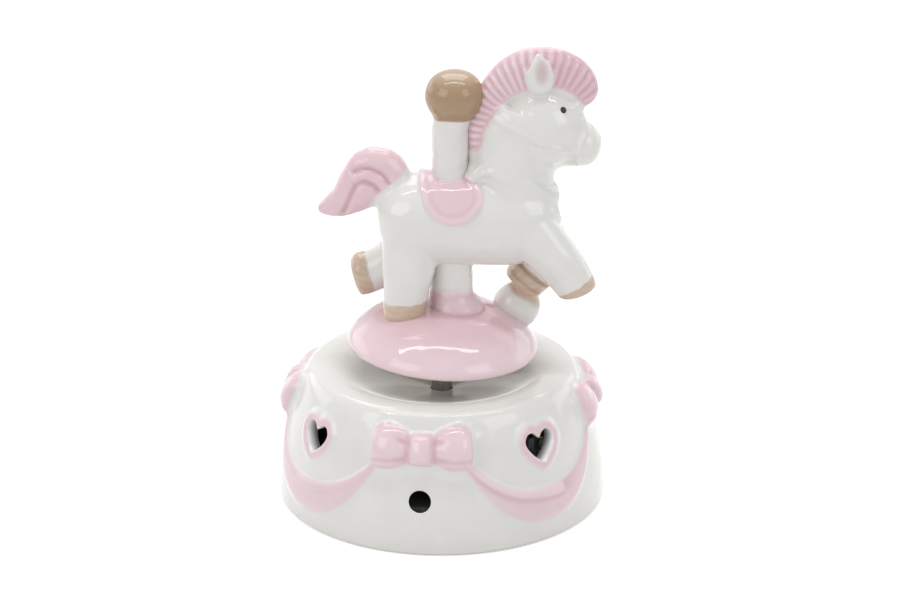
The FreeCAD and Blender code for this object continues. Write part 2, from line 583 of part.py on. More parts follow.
def governor_parts():
    """Second arbor with its pinion and worm wheel, and the fan on its worm."""
    arbor = rod(0.7, (29.2, TRAIN_SPREAD, CYLINDER_LEVEL), 6.6, X_AXIS)
    pinion = gear(gear_outline(GOVERNOR_TEETH, TRAIN_MODULE, 0.08, first=18.0), 0, 1.6,
                  (30.5, TRAIN_SPREAD, CYLINDER_LEVEL), True)
    wheel = gear(gear_outline(WORM_WHEEL_TEETH, WORM_MODULE, 0.24, 0.8, 1.1), 0, 0.9,
                 (WORM_X - 0.45, TRAIN_SPREAD, CYLINDER_LEVEL), True)
    second = joined(arbor, pinion, wheel)
    pitch = math.pi * WORM_MODULE
    turns = 4
    start = CYLINDER_LEVEL - pitch * turns / 2 + pitch / 2
    helix = Part.makeHelix(pitch, pitch * turns, WORM_RADIUS)
    section = Part.makePolygon([V(0.9, 0, -0.3), V(1.8, 0, -0.14), V(1.8, 0, 0.14), V(0.9, 0, 0.3), V(0.9, 0, -0.3)])
    thread = Part.Wire(helix.Edges).makePipeShell([section], True, True)
    thread.rotate(V(0, 0, 0), Z_AXIS, -90)
    thread.translate(V(WORM_X, WORM_Y, start))
    shaft = joined(rod(0.6, (WORM_X, WORM_Y, BED_TOP + 0.2), 16.0), rod(1.0, (WORM_X, WORM_Y, 19.6), 8.4))
    blade = box((WORM_X - 4.0, WORM_Y - 0.35, 27.4), (WORM_X + 4.0, WORM_Y + 0.35, 30.4))
    fan = joined(shaft, thread, blade)
    return {"governor_wheel": second, "governor_fan": fan}


def comb_parts():
    """Steel comb on its block; each tooth's free length falls from bass to treble."""
    pitch = (CYLINDER_END - CYLINDER_START - 1.2) / TRACKS
    left, right = CYLINDER_START + 0.6, CYLINDER_END - 0.6
    tip, back, base = -PIN_REACH - 0.15, -22.0, CYLINDER_LEVEL - 0.5
    points = [(right + 0.6, back, base), (left - 0.6, back, base), (left - 0.6, -17.6, base)]
    for track in range(TRACKS):
        x = left + pitch * (track + 0.5)
        root = -17.2 + 0.22 * track
        points += [(x - 0.24, root, base), (x - 0.24, tip, base), (x + 0.24, tip, base), (x + 0.24, root, base)]
    points.append((right + 0.6, -17.6 + 0.22 * TRACKS, base))
    comb = polygon_face(points).extrude(V(0, 0, 1.0))
    block = box((left - 0.6, -22.0, BED_TOP), (right + 0.6, -18.0, base))
    screws = []
    for x in (left + 1.6, right - 1.6):
        head_blank = rod(1.5, (x, -20.0, base + 1.0), 1.1)
        slot = box((x - 2, -20.25, base + 1.6), (x + 2, -19.75, base + 2.2))
        screws.append(joined(head_blank.cut(slot), rod(0.8, (x, -20.0, base - 4.0), 5.4)))
        comb = comb.cut(rod(0.8, (x, -20.0, 0), 40))
        block = block.cut(rod(0.8, (x, -20.0, base - 4.0), 10))
    return {"comb": biggest(comb), "comb_block": biggest(block), "comb_screws": Part.makeCompound(screws)}


def click_parts():
    """Spring click beside the ratchet wheel."""
    leaf = polygon_face([(-6.08, 0.3, 16.0), (-6.08, -0.6, 16.0), (-8.2, -1.6, 16.0), (-9.4, -9.0, 16.0),
                         (-12.6, -9.0, 16.0), (-12.6, -4.6, 16.0), (-9.6, -1.4, 16.0), (-8.6, 0.3, 16.0)])
    leaf = leaf.extrude(V(0, 0, 1.0))
    stud = joined(rod(1.2, (-11.0, -7.0, BED_TOP), 0.5), rod(0.8, (-11.0, -7.0, BED_TOP), 1.5),
                  rod(1.2, (-11.0, -7.0, 17.0), 0.5))
    leaf = leaf.cut(rod(0.8, (-11.0, -7.0, 0), 40))
    return {"click_leaf": biggest(leaf), "click_rivet": stud}


def insert():
    """Brass insert in the disc's hub, on the spindle's top end."""
    return rod(INSERT_RADIUS, (0, 0, 46.2), 10.6).cut(rod(SPINDLE_RADIUS, (0, 0, 40), 15.4))


def main():
    """Build every node and write it."""
    os.makedirs("parts", exist_ok=True)
    nodes = {}
    for group in (base_parts, figure_parts, barrel_parts, winder_parts, frame_parts, governor_frames,
                  cylinder_parts, governor_parts, comb_parts, click_parts):
        nodes.update(group())
    nodes["spindle_insert"] = insert()
    nodes["turntable_disc"] = less(nodes["turntable_disc"], rod(INSERT_RADIUS, (0, 0, 40), 16.8))
    for name, shape in nodes.items():
        shape.exportStep("parts/" + name + ".step")


main()
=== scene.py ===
"""Looks of the wind-up music box: a glazed porcelain carousel horse on a bow-trimmed base.

Pieces are laid out in millimetres, the horse facing +X, and go to metres in the row frame when finished.
"""
import json
import logging
import math
from dataclasses import dataclass, field
from enum import Enum
from typing import Dict, List, Optional, Sequence, Tuple

import bmesh
import bpy
import numpy as np
from mathutils import Matrix, Vector


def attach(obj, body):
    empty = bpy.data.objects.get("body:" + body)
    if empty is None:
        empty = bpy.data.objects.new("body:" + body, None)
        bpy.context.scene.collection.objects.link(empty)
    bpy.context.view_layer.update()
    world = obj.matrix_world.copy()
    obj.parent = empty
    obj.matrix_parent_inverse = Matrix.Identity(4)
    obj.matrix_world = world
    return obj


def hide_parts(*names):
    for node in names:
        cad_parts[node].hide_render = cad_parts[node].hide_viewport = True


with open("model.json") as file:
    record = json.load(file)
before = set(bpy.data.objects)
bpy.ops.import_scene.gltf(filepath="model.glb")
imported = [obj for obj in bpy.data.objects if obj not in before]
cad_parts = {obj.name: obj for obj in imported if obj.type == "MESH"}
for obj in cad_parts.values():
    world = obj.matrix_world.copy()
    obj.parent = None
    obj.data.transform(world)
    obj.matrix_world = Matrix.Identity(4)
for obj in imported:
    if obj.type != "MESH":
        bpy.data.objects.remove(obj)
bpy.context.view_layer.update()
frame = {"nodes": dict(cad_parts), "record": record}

LOG = logging.getLogger("music_box")
MM = 0.001
VIEW_AZIMUTH = 7.5
FIGURE_TURN = math.radians(VIEW_AZIMUTH)
TINT = "glaze_tint"

Point2 = Tuple[float, float]
Point3 = Tuple[float, float, float]
Colour = Tuple[float, float, float]
# Centre of an oval section, its half size in the horse's plane and its half size across it
Station = Tuple[float, float, float, float, float]
# Height of a relief, and where it is paler and deeper in colour
Relief = Tuple[np.ndarray, np.ndarray, np.ndarray]
Form = bmesh.types.BMesh
Mesh = bpy.types.Mesh
Tree = bpy.types.NodeTree
Node = bpy.types.Node
Socket = bpy.types.NodeSocket


class Body(Enum):
    """CAD bodies that the new pieces ride on."""

    BASE = "base"
    CAROUSEL = "carousel"


class Slot(Enum):
    """Record slots that the new pieces take their finish from."""

    WHITE = "porcelain_white"
    PINK = "porcelain_pink"
    TAN = "porcelain_tan"


def linear(red: int, green: int, blue: int) -> Colour:
    """Linear colour of an 8-bit screen colour."""
    def channel(value: int) -> float:
        """One channel, made linear."""
        share = value / 255.0
        return share / 12.92 if share <= 0.04045 else ((share + 0.055) / 1.055) ** 2.4
    return channel(red), channel(green), channel(blue)


class Glaze(Enum):
    """Glaze and body colours of the porcelain, and the colours of painted shade."""

    WHITE = linear(233, 232, 228)
    PINK = linear(234, 204, 211)
    PINK_ROSE = linear(226, 189, 199)
    PINK_DEEP = linear(212, 165, 177)
    PINK_PALE = linear(242, 223, 228)
    TAN = linear(172, 143, 112)
    TAN_PALE = linear(214, 192, 172)
    POOLED = linear(178, 112, 124)
    UNDERSIDE_TAN = linear(222, 210, 192)
    # Dark tan of the painted shadow lines on a hoof
    TAN_SHADOW = linear(150, 118, 90)
    # Near black laid inside the hollow base as painted shade
    INSIDE_SHADE = linear(62, 52, 46)
    FOOT = linear(172, 150, 130)
    EAR = linear(214, 190, 192)


# Fields over a surface


def ease(low: float, high: float, values: np.ndarray) -> np.ndarray:
    """Smooth step from 0 at low to 1 at high.

    Args:
        low: Value where the step starts.
        high: Value where it ends; it may lie below low.
        values: Values to step.

    Returns:
        Step height for each value.
    """
    share = np.clip((values - low) / (high - low), 0.0, 1.0)
    return share * share * (3.0 - 2.0 * share)


def distance_to(points: np.ndarray, line: Sequence[Point2]) -> np.ndarray:
    """Distance of points from an open line in their plane.

    Args:
        points: Points, one row of two numbers each.
        line: Corners of the line.

    Returns:
        Distance of each point.
    """
    best = np.full(len(points), np.inf)
    for start, end in zip(line, line[1:]):
        a = np.array(start)
        step = np.array(end) - a
        length = float(np.hypot(*step))
        share = np.clip(((points - a) @ step) / length ** 2, 0.0, 1.0)
        gap = points - a - share[:, None] * step
        best = np.minimum(best, np.hypot(gap[:, 0], gap[:, 1]))
    return best


def depth_inside(points: np.ndarray, outline: Sequence[Point2]) -> np.ndarray:
    """Distance of points from a closed outline, positive inside it.

    Args:
        points: Points, one row of two numbers each.
        outline: Corners of the outline, not repeated at the end.

    Returns:
        Signed distance of each point.
    """
    closed = list(outline) + [outline[0]]
    distance = distance_to(points, closed)
    inside = np.zeros(len(points), dtype=bool)
    for (x0, y0), (x1, y1) in zip(closed, closed[1:]):
        if y0 == y1:
            continue
        crosses = (y0 > points[:, 1]) != (y1 > points[:, 1])
        inside ^= crosses & (points[:, 0] < (x1 - x0) * (points[:, 1] - y0) / (y1 - y0) + x0)
    return np.where(inside, distance, -distance)


def graph(corners: Sequence[Point2], values: np.ndarray) -> np.ndarray:
    """Heights of a line through corners at places along it.

    Args:
        corners: Place and height of each corner.
        values: Places to look up.

    Returns:
        Height at each place.
    """
    places, heights = zip(*corners)
    return np.interp(values, places, heights)


def smooth_line(corners: Sequence[Sequence[float]], per_span: int) -> List[Tuple[float, ...]]:
    """Points of a smooth curve through corners.

    Args:
        corners: Points with any number of coordinates.
        per_span: Points from each corner to the next.

    Returns:
        Points of the curve, ends included.
    """
    rows = [np.array(c, dtype=float) for c in corners]
    points: List[Tuple[float, ...]] = []
    for i in range(len(rows) - 1):
        p0, p1, p2, p3 = rows[max(i - 1, 0)], rows[i], rows[i + 1], rows[min(i + 2, len(rows) - 1)]
        for k in range(per_span):
            t = k / per_span
            points.append(tuple(0.5 * (2 * p1 + (p2 - p0) * t + (2 * p0 - 5 * p1 + 4 * p2 - p3) * t * t
                                       + (3 * p1 - p0 - 3 * p2 + p3) * t ** 3)))
    points.append(tuple(rows[-1]))
    return points


def even(line: Sequence[Sequence[float]], step: float) -> List[Tuple[float, ...]]:
    """The same line with its points a nearly fixed step apart.

    Args:
        line: Points of the line.
        step: Wanted distance from each point to the next.

    Returns:
        Points of the line, ends included.
    """
    rows = np.array(line, dtype=float)
    run = np.concatenate([[0.0], np.cumsum(np.linalg.norm(np.diff(rows, axis=0), axis=1))])
    marks = np.linspace(0.0, run[-1], max(int(run[-1] / step), 1) + 1)
    return [tuple(row) for row in np.stack([np.interp(marks, run, column) for column in rows.T], axis=1)]


def waver(places: np.ndarray, depth: float) -> np.ndarray:
    """Slow unevenness of a hand-finished casting.

    Args:
        places: Points in millimetres.
        depth: Largest rise.

    Returns:
        Rise of each point.
    """
    x, y, z = places.T
    wave = np.sin(0.52 * x + 0.31 * z + 0.7) * np.sin(0.44 * y - 0.37 * z + 1.9)
    fine = np.sin(0.93 * x - 0.58 * y + 0.3) * np.sin(0.81 * z + 0.47 * y + 2.2)
    return depth * (0.65 * wave + 0.35 * fine)


# Mesh making


def loft(bm: Form, stations: Sequence[Station], segments: int = 28, per_span: int = 5) -> None:
    """Adds a closed form through oval sections.

    Args:
        bm: Mesh that takes the form.
        stations: Sections from one end to the other.
        segments: Corners of each section.
        per_span: Rings from each section to the next.
    """
    rows = smooth_line(stations, per_span)
    centres = [Vector(row[:3]) for row in rows]
    rings = []
    for i, row in enumerate(rows):
        tangent = (centres[min(i + 1, len(rows) - 1)] - centres[max(i - 1, 0)]).normalized()
        in_plane = Vector((0, 1, 0)).cross(tangent).normalized()
        across = tangent.cross(in_plane)
        frame_axes = Matrix((in_plane * row[3], across * row[4], tangent)).transposed().to_4x4()
        place = Matrix.Translation(centres[i]) @ frame_axes
        end = i in (0, len(rows) - 1)
        ring = bmesh.ops.create_circle(bm, cap_ends=end, segments=segments, radius=1.0, matrix=place)["verts"]
        rings.append({e for v in ring for e in v.link_edges})
    for lower, upper in zip(rings, rings[1:]):
        bmesh.ops.bridge_loops(bm, edges=list(lower | upper))


def ball(bm: Form, centre: Point3, halves: Point3) -> None:
    """Adds an egg-like ball with three half sizes."""
    place = Matrix.Translation(centre) @ Matrix.Diagonal((*halves, 1.0))
    bmesh.ops.create_uvsphere(bm, u_segments=36, v_segments=24, radius=1.0, matrix=place)


def lathe(profile: Sequence[Point2], steps: int) -> Form:
    """A form turned about Z.

    Args:
        profile: Radius and height of each point from one end to the other.
        steps: Corners around.

    Returns:
        Closed mesh with its faces outwards.
    """
    bm = bmesh.new()
    verts = [bm.verts.new((max(r, 0.0), 0.0, z)) for r, z in profile]
    edges = [bm.edges.new(pair) for pair in zip(verts, verts[1:])]
    bmesh.ops.spin(bm, geom=verts + edges, cent=(0, 0, 0), axis=(0, 0, 1), dvec=(0, 0, 0),
                   angle=2 * math.pi, steps=steps, use_merge=True, use_duplicate=False)
    bmesh.ops.remove_doubles(bm, verts=bm.verts, dist=1e-4)
    bmesh.ops.recalc_face_normals(bm, faces=bm.faces)
    return bm


def as_mesh(bm: Form, name: str) -> Mesh:
    """A named mesh of a form, which is freed."""
    mesh = bpy.data.meshes.new(name)
    bm.to_mesh(mesh)
    bm.free()
    return mesh


def read(mesh: Mesh) -> Tuple[np.ndarray, np.ndarray]:
    """Places and normals of a mesh's points, one row of three numbers each."""
    places = np.empty(len(mesh.vertices) * 3)
    mesh.vertices.foreach_get("co", places)
    normals = np.empty(len(mesh.vertices) * 3)
    mesh.vertex_normals.foreach_get("vector", normals)
    return places.reshape(-1, 3), normals.reshape(-1, 3)


def write(mesh: Mesh, places: np.ndarray) -> None:
    """Moves a mesh's points to places."""
    mesh.vertices.foreach_set("co", places.ravel())
    mesh.update()


def remeshed(bm: Form, voxel: float, rounds: int) -> Mesh:
    """One skin over all the closed forms in a mesh, with its seams smoothed as glaze does.

    Args:
        bm: Overlapping closed forms; it is freed.
        voxel: Size of the skin's faces.
        rounds: Smoothing rounds.

    Returns:
        The new mesh.
    """
    bmesh.ops.recalc_face_normals(bm, faces=bm.faces)
    rough = as_mesh(bm, "rough")
    carrier = bpy.data.objects.new("rough", rough)
    bpy.context.scene.collection.objects.link(carrier)
    skin = carrier.modifiers.new("skin", "REMESH")
    skin.mode = "VOXEL"
    skin.voxel_size = voxel
    soften = carrier.modifiers.new("soften", "SMOOTH")
    soften.factor = 0.5
    soften.iterations = rounds
    mesh = baked(carrier)
    bpy.data.objects.remove(carrier)
    bpy.data.meshes.remove(rough)
    return mesh


def baked(carrier: bpy.types.Object) -> Mesh:
    """A copy of an object's mesh with its modifiers applied."""
    graph = bpy.context.evaluated_depsgraph_get()
    return bpy.data.meshes.new_from_object(carrier.evaluated_get(graph))


class Paint:
    """Glaze colours laid point by point on one mesh."""

    def __init__(self, count: int, ground: Glaze = Glaze.WHITE) -> None:
        """Starts from one ground colour on count points."""
        self.colour = np.tile(np.array(ground.value), (count, 1))

    def lay(self, glaze: Glaze, cover: np.ndarray) -> None:
        """Lays a glaze where cover is above 0."""
        share = np.clip(cover, 0.0, 1.0)[:, None]
        self.colour = self.colour * (1.0 - share) + np.array(glaze.value) * share

    def store(self, mesh: Mesh) -> None:
        """Writes the colours to the mesh's own attribute."""
        layer = mesh.attributes.new(TINT, "FLOAT_COLOR", "POINT")
        rows = np.ones((len(self.colour), 4))
        rows[:, :3] = self.colour
        layer.data.foreach_set("color", rows.ravel())


# Finishes


@dataclass(frozen=True)
class Finish:
    """A procedural finish; subclasses say how its colour is made."""

    name: str
    roughness: float
    metallic: float = 0.0

    def material(self) -> bpy.types.Material:
        """The finish as a material, made once."""
        made = bpy.data.materials.get(self.name)
        if made is None:
            made = bpy.data.materials.new(self.name)
            made.use_nodes = True
            shader = made.node_tree.nodes["Principled BSDF"]
            shader.inputs["Metallic"].default_value = self.metallic
            shader.inputs["Roughness"].default_value = self.roughness
            self.wire(made.node_tree, shader)
        return made

    def wire(self, tree: Tree, shader: Node) -> None:
        """Adds the nodes that vary the finish over the surface."""
        raise NotImplementedError

    @staticmethod
    def noise(tree: Tree, scale: float, detail: float, stretch: Point3 = (1, 1, 1)) -> Node:
        """Noise on Object coordinates.

        Args:
            tree: Node tree that takes it.
            scale: Grains per metre.
            detail: Octaves.
            stretch: Scale of each axis.

        Returns:
            The noise node.
        """
        place = tree.nodes.new("ShaderNodeTexCoord")
        mapping = tree.nodes.new("ShaderNodeMapping")
        mapping.inputs["Scale"].default_value = stretch
        grain = tree.nodes.new("ShaderNodeTexNoise")
        grain.inputs["Scale"].default_value = scale
        grain.inputs["Detail"].default_value = detail
        tree.links.new(place.outputs["Object"], mapping.inputs["Vector"])
        tree.links.new(mapping.outputs["Vector"], grain.inputs["Vector"])
        return grain

    @staticmethod
    def spread(tree: Tree, source: Socket, low: float, high: float) -> Socket:
        """Maps a grain's usual span to low and high.

        Args:
            tree: Node tree that takes the node.
            source: Socket with the grain.
            low: Value at the grain's low end.
            high: Value at its high end.

        Returns:
            Socket with the mapped value.
        """
        node = tree.nodes.new("ShaderNodeMapRange")
        node.inputs["From Min"].default_value = 0.3
        node.inputs["From Max"].default_value = 0.7
        node.inputs["To Min"].default_value = low
        node.inputs["To Max"].default_value = high
        tree.links.new(source, node.inputs["Value"])
        return node.outputs["Result"]

    @staticmethod
    def bump(tree: Tree, shader: Node, height: Socket, depth: float) -> None:
        """Raises the surface by a grain, depth in metres."""
        node = tree.nodes.new("ShaderNodeBump")
        node.inputs["Strength"].default_value = 1.0
        node.inputs["Distance"].default_value = depth
        tree.links.new(height, node.inputs["Height"])
        tree.links.new(node.outputs["Normal"], shader.inputs["Normal"])


@dataclass(frozen=True)
class PorcelainGlaze(Finish):
    """Hand-painted porcelain under a clear glaze, coloured by the piece's own paint."""

    cloud: float = 0.035
    ripple: float = 0.000010

    def wire(self, tree: Tree, shader: Node) -> None:
        """Paint, clouded a little, with a faint orange peel and a varying gloss."""
        paint = tree.nodes.new("ShaderNodeAttribute")
        paint.attribute_name = TINT
        cloud = self.noise(tree, 140.0, 3.0)
        mix = tree.nodes.new("ShaderNodeMix")
        mix.data_type = "RGBA"
        mix.blend_type = "MULTIPLY"
        mix.inputs["Factor"].default_value = 1.0
        tint = tree.nodes.new("ShaderNodeCombineColor")
        value = self.spread(tree, cloud.outputs["Fac"], 1.0 - self.cloud, 1.0)
        for channel in ("Red", "Green", "Blue"):
            tree.links.new(value, tint.inputs[channel])
        tree.links.new(paint.outputs["Color"], mix.inputs["A"])
        tree.links.new(tint.outputs["Color"], mix.inputs["B"])
        tree.links.new(mix.outputs["Result"], shader.inputs["Base Color"])
        gloss = self.noise(tree, 60.0, 2.0)
        tree.links.new(self.spread(tree, gloss.outputs["Fac"], self.roughness - 0.02, self.roughness + 0.04),
                       shader.inputs["Roughness"])
        peel = self.noise(tree, 420.0, 1.0)
        self.bump(tree, shader, peel.outputs["Fac"], self.ripple)
        shader.inputs["IOR"].default_value = 1.52


@dataclass(frozen=True)
class Toned(Finish):
    """A plain stock whose colour drifts between two tones."""

    tones: Tuple[Colour, Colour] = ((0.5, 0.5, 0.5), (0.6, 0.6, 0.6))
    scale: float = 300.0
    stretch: Point3 = (1.0, 1.0, 1.0)
    depth: float = 0.000004

    def wire(self, tree: Tree, shader: Node) -> None:
        """Two tones through a grain, which also varies the gloss and the surface."""
        grain = self.noise(tree, self.scale, 4.0, self.stretch)
        ramp = tree.nodes.new("ShaderNodeValToRGB")
        ramp.color_ramp.elements[0].position = 0.35
        ramp.color_ramp.elements[0].color = (*self.tones[0], 1.0)
        ramp.color_ramp.elements[1].position = 0.65
        ramp.color_ramp.elements[1].color = (*self.tones[1], 1.0)
        tree.links.new(grain.outputs["Fac"], ramp.inputs["Fac"])
        tree.links.new(ramp.outputs["Color"], shader.inputs["Base Color"])
        tree.links.new(self.spread(tree, grain.outputs["Fac"], self.roughness - 0.06, self.roughness + 0.08),
                       shader.inputs["Roughness"])
        self.bump(tree, shader, grain.outputs["Fac"], self.depth)


PORCELAIN = PorcelainGlaze("glazed_porcelain", roughness=0.06)
EYE_BLACK = Toned("black_overglaze", 0.3, tones=((0.006, 0.005, 0.006), (0.014, 0.011, 0.011)), scale=900.0)
STOCK: Dict[str, Toned] = {
    "steel": Toned("turned_steel", 0.3, 1.0, ((0.36, 0.36, 0.37), (0.5, 0.5, 0.51)), 700.0, (1, 1, 0.12)),
    "brass": Toned("drawn_brass", 0.28, 1.0, ((0.52, 0.35, 0.12), (0.64, 0.46, 0.19)), 600.0),
    "zinc": Toned("cast_zinc", 0.42, 1.0, ((0.4, 0.41, 0.42), (0.52, 0.53, 0.54)), 500.0),
    "plate_plastic": Toned("moulded_plate", 0.5, 0.0, ((0.05, 0.045, 0.04), (0.075, 0.07, 0.065)), 800.0),
    "fan_plastic": Toned("moulded_fan", 0.45, 0.0, ((0.03, 0.03, 0.035), (0.05, 0.05, 0.055)), 800.0),
}


def place_piece(name: str, mesh: Mesh, finish: Finish, body: Body,
                replaced: Sequence[str] = ()) -> None:
    """Makes a finished mesh a piece of the object.

    Args:
        name: Piece name.
        mesh: Its mesh, in metres in the row frame.
        finish: Its finish.
        body: Body that it rides on.
        replaced: CAD nodes that it stands for.
    """
    mesh.name = name
    mesh.materials.clear()
    mesh.materials.append(finish.material())
    mesh.shade_smooth()
    piece = bpy.data.objects.new(name, mesh)
    bpy.context.scene.collection.objects.link(piece)
    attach(piece, body.value)
    if replaced:
        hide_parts(*replaced)
    LOG.info("%s: %d faces on %s", name, len(mesh.polygons), body.value)


def to_row(mesh: Mesh, turn: float = 0.0) -> Mesh:
    """Takes a mesh from millimetres to the row frame, turned about Z."""
    mesh.transform(Matrix.Rotation(turn, 4, "Z") @ Matrix.Scale(MM, 4))
    mesh.update()
    return mesh


def place_on_figure(name: str, mesh: Mesh, replaced: Sequence[str] = (),
                    finish: Finish = PORCELAIN) -> None:
    """Makes a mesh in millimetres a piece of the turning figure.

    Args:
        name: Piece name.
        mesh: Its mesh, before the figure's turn.
        replaced: CAD nodes that it stands for.
        finish: Its finish.
    """
    place_piece(name, to_row(mesh, FIGURE_TURN), finish, Body.CAROUSEL, replaced)


# The base


@dataclass
class PorcelainBase:
    """Round base with a shallow cone in its top, pierced hearts, puffed bows and ribbon garlands."""

    wall: Sequence[Point2] = (
        (49.3, 0.0), (50.05, 0.5), (50.2, 1.6), (50.15, 6), (49.3, 14), (47.5, 22), (45.1, 30), (42.8, 36),
        (41.5, 38.8), (40.4, 40.3), (39.1, 41.1), (37.6, 41.4))
    well: Sequence[Point2] = (
        (37.6, 41.4), (35.6, 41.6), (33.6, 41.55), (31.8, 41.25), (30.2, 40.85), (28.4, 40.3),
        (26.0, 39.6), (22.0, 38.45), (18.0, 37.3), (14.0, 36.1), (10.0, 34.9), (7.0, 34.0), (4.2, 33.25),
        (3.4, 33.0), (3.4, 32.4), (4.6, 32.2), (4.6, 30.6))
    inner: Sequence[Point2] = (
        (4.6, 30.6), (6.5, 30.6), (8.4, 31.0), (12.0, 32.2), (18.0, 34.1), (26.0, 36.5), (31.0, 38.0),
        (33.4, 38.6), (35.8, 38.5), (38.8, 36.6), (40.6, 33.0), (42.1, 29.0), (44.0, 23.0), (45.1, 17.0),
        (46.3, 6.6), (47.07, 0.0), (49.3, 0.0))
    steps: int = 620
    bow_level: float = 32.0
    bow_radius: float = 45.0
    bow_slope: float = 1.07
    bow_half: Sequence[Point2] = (
        (3.0, 4.6), (4.5, 5.4), (6, 6.2), (8, 6.9), (10, 7.2), (12, 7.2), (13.6, 6.7), (14.6, 5.6),
        (15.2, 3.8), (15.6, 2))
    bow_swell: Sequence[Point2] = (
        (3.0, 2.8), (5.0, 3.2), (7.0, 4.0), (9.0, 4.5), (11.5, 4.6), (13.5, 4.1), (14.6, 3.1), (15.5, 1.2))
    knot_half: Point2 = (3.6, 4.9)
    knot_rise: float = 4.8
    swag_radius: float = 48.0
    swag_half: float = 25.5
    swag_end: float = 27.6
    heart_level: float = 28.3
    heart_radius: float = 46.0
    heart_slope: float = 1.05
    heart_size: Point2 = (10.6, 8.8)
    rim: float = 2.9
    rim_rise: float = 0.75
    cut_start: float = 30.0
    cut_length: float = 35.0
    vent: Point2 = (3.3, 16.4)
    vent_flare: Point2 = (4.8, 1.8)
    drill_middle: float = 46.0
    drill_depth: float = 12.0
    side_turn: float = 95.0
    slant: float = 0.015
    soft_rounds: int = 4
    replaced: Sequence[str] = ("base_shell", "bow_front", "bow_right", "bow_back", "bow_left", "garlands",
                               "heart_rims")

    def heart(self) -> List[Point2]:
        """Heart outline about its own middle."""
        width, height = self.heart_size
        half = [(0.0, 0.27), (0.12, 0.44), (0.27, 0.5), (0.41, 0.44), (0.5, 0.26), (0.47, 0.06),
                (0.33, -0.19), (0.14, -0.4), (0.0, -0.5)]
        right = [(x * width, z * height) for x, z in half]
        return right + [(-x, z) for x, z in right[-2:0:-1]]

    def build(self) -> Mesh:
        """The base with its relief, pierced and painted, in millimetres."""
        outer = even(smooth_line(self.wall, 11), 0.45)
        profile = outer + smooth_line(self.well, 2)[1:] + list(self.inner)[1:]
        mesh = as_mesh(lathe(profile, self.steps), "base")
        places, normals = read(mesh)
        paint = Paint(len(places))
        lift = self.relieve(places, normals, paint)
        write(mesh, places)
        self.soften(mesh, lift)
        paint.store(mesh)
        return self.pierced(mesh)

    def soften(self, mesh: Mesh, lift: np.ndarray) -> None:
        """Rounds the relief's steps as a thick glaze does.

        Args:
            mesh: The base, changed in place.
            lift: How far each point was raised.
        """
        bm = bmesh.new()
        bm.from_mesh(mesh)
        bm.verts.ensure_lookup_table()
        raised = [bm.verts[i] for i in np.nonzero(lift > 0.02)[0]]
        for _ in range(self.soft_rounds):
            bmesh.ops.smooth_vert(bm, verts=raised, factor=0.5, use_axis_x=True, use_axis_y=True,
                                  use_axis_z=True)
        bm.to_mesh(mesh)
        bm.free()

    def relieve(self, places: np.ndarray, normals: np.ndarray, paint: Paint) -> np.ndarray:
        """Raises and paints the bows, garlands and heart rims, and lays painted shade over the inside of the
        hollow base.

        Args:
            places: Points of the base, moved in place.
            normals: Their normals.
            paint: Paint of the base.

        Returns:
            How far each point was raised.
        """
        radius = np.hypot(places[:, 0], places[:, 1])
        height = places[:, 2]
        reach = graph([(z, r) for r, z in self.wall], height)
        wall = (radius > reach - 1.2) & (height > 0.6)
        angle = np.arctan2(places[:, 0], -places[:, 1])
        side = math.radians(self.side_turn)
        front = np.abs(angle) < side
        hand = np.sign(angle)
        beside = np.abs(angle) < (side + math.pi) / 2
        from_other = np.where(beside, angle - hand * side, angle - hand * math.pi)
        from_bow = np.where(np.abs(angle) < side / 2, angle, from_other)
        from_heart = angle - hand * np.where(front, side / 2, (side + math.pi) / 2)
        stretch = np.where(front, 1.0, side / (math.pi - side))
        level = height - self.slant * places[:, 0]
        bow_up = (level - self.bow_level) * self.bow_slope
        bow_raise, bow_pale, bow_deep = self.bow(from_bow * self.bow_radius, bow_up)
        inward = from_heart * np.where(front, 1.0, -1.0) * hand
        pleat = np.where(angle > 0.0, 1.0, 0.15)
        swag_raise, swag_pale, swag_deep = self.garland(inward * stretch * self.swag_radius, level, pleat)
        heart_up = (level - self.heart_level) * self.heart_slope
        local = np.stack([from_heart * self.heart_radius, heart_up], axis=1)
        gap = -depth_inside(local, self.heart())
        rim_raise = self.rim_rise * ease(-0.4, 0.5, gap) * ease(self.rim + 1.2, self.rim - 1.2, gap)
        wall = wall * ease(40.6, 39.0, height)
        lift = np.maximum(np.maximum(bow_raise, swag_raise), rim_raise) * wall
        places += normals * lift[:, None]
        bow_cover = ease(0.6, 2.2, bow_raise) * wall
        swag_cover = 0.82 * ease(0.15, 0.8, swag_raise) * wall
        rim_cover = ease(self.rim + 0.3, self.rim - 1.4, gap) * ease(-0.9, 0.1, gap) * wall
        paint.lay(Glaze.PINK, np.maximum(np.maximum(bow_cover, swag_cover), 0.95 * rim_cover))
        paint.lay(Glaze.PINK_PALE, np.maximum(bow_pale * bow_cover, swag_pale * swag_cover))
        paint.lay(Glaze.PINK_DEEP, np.maximum(bow_deep * bow_cover, swag_deep * swag_cover))
        # Painted shade: the inside of the hollow base, seen through the hearts and the vent, is laid near
        # black
        roof = graph(self.well[::-1], radius)
        inside = (radius < reach - 2.2) & (height < roof - 1.4)
        paint.lay(Glaze.INSIDE_SHADE, inside.astype(float))
        paint.lay(Glaze.FOOT, ease(0.55, 0.1, height))
        return lift

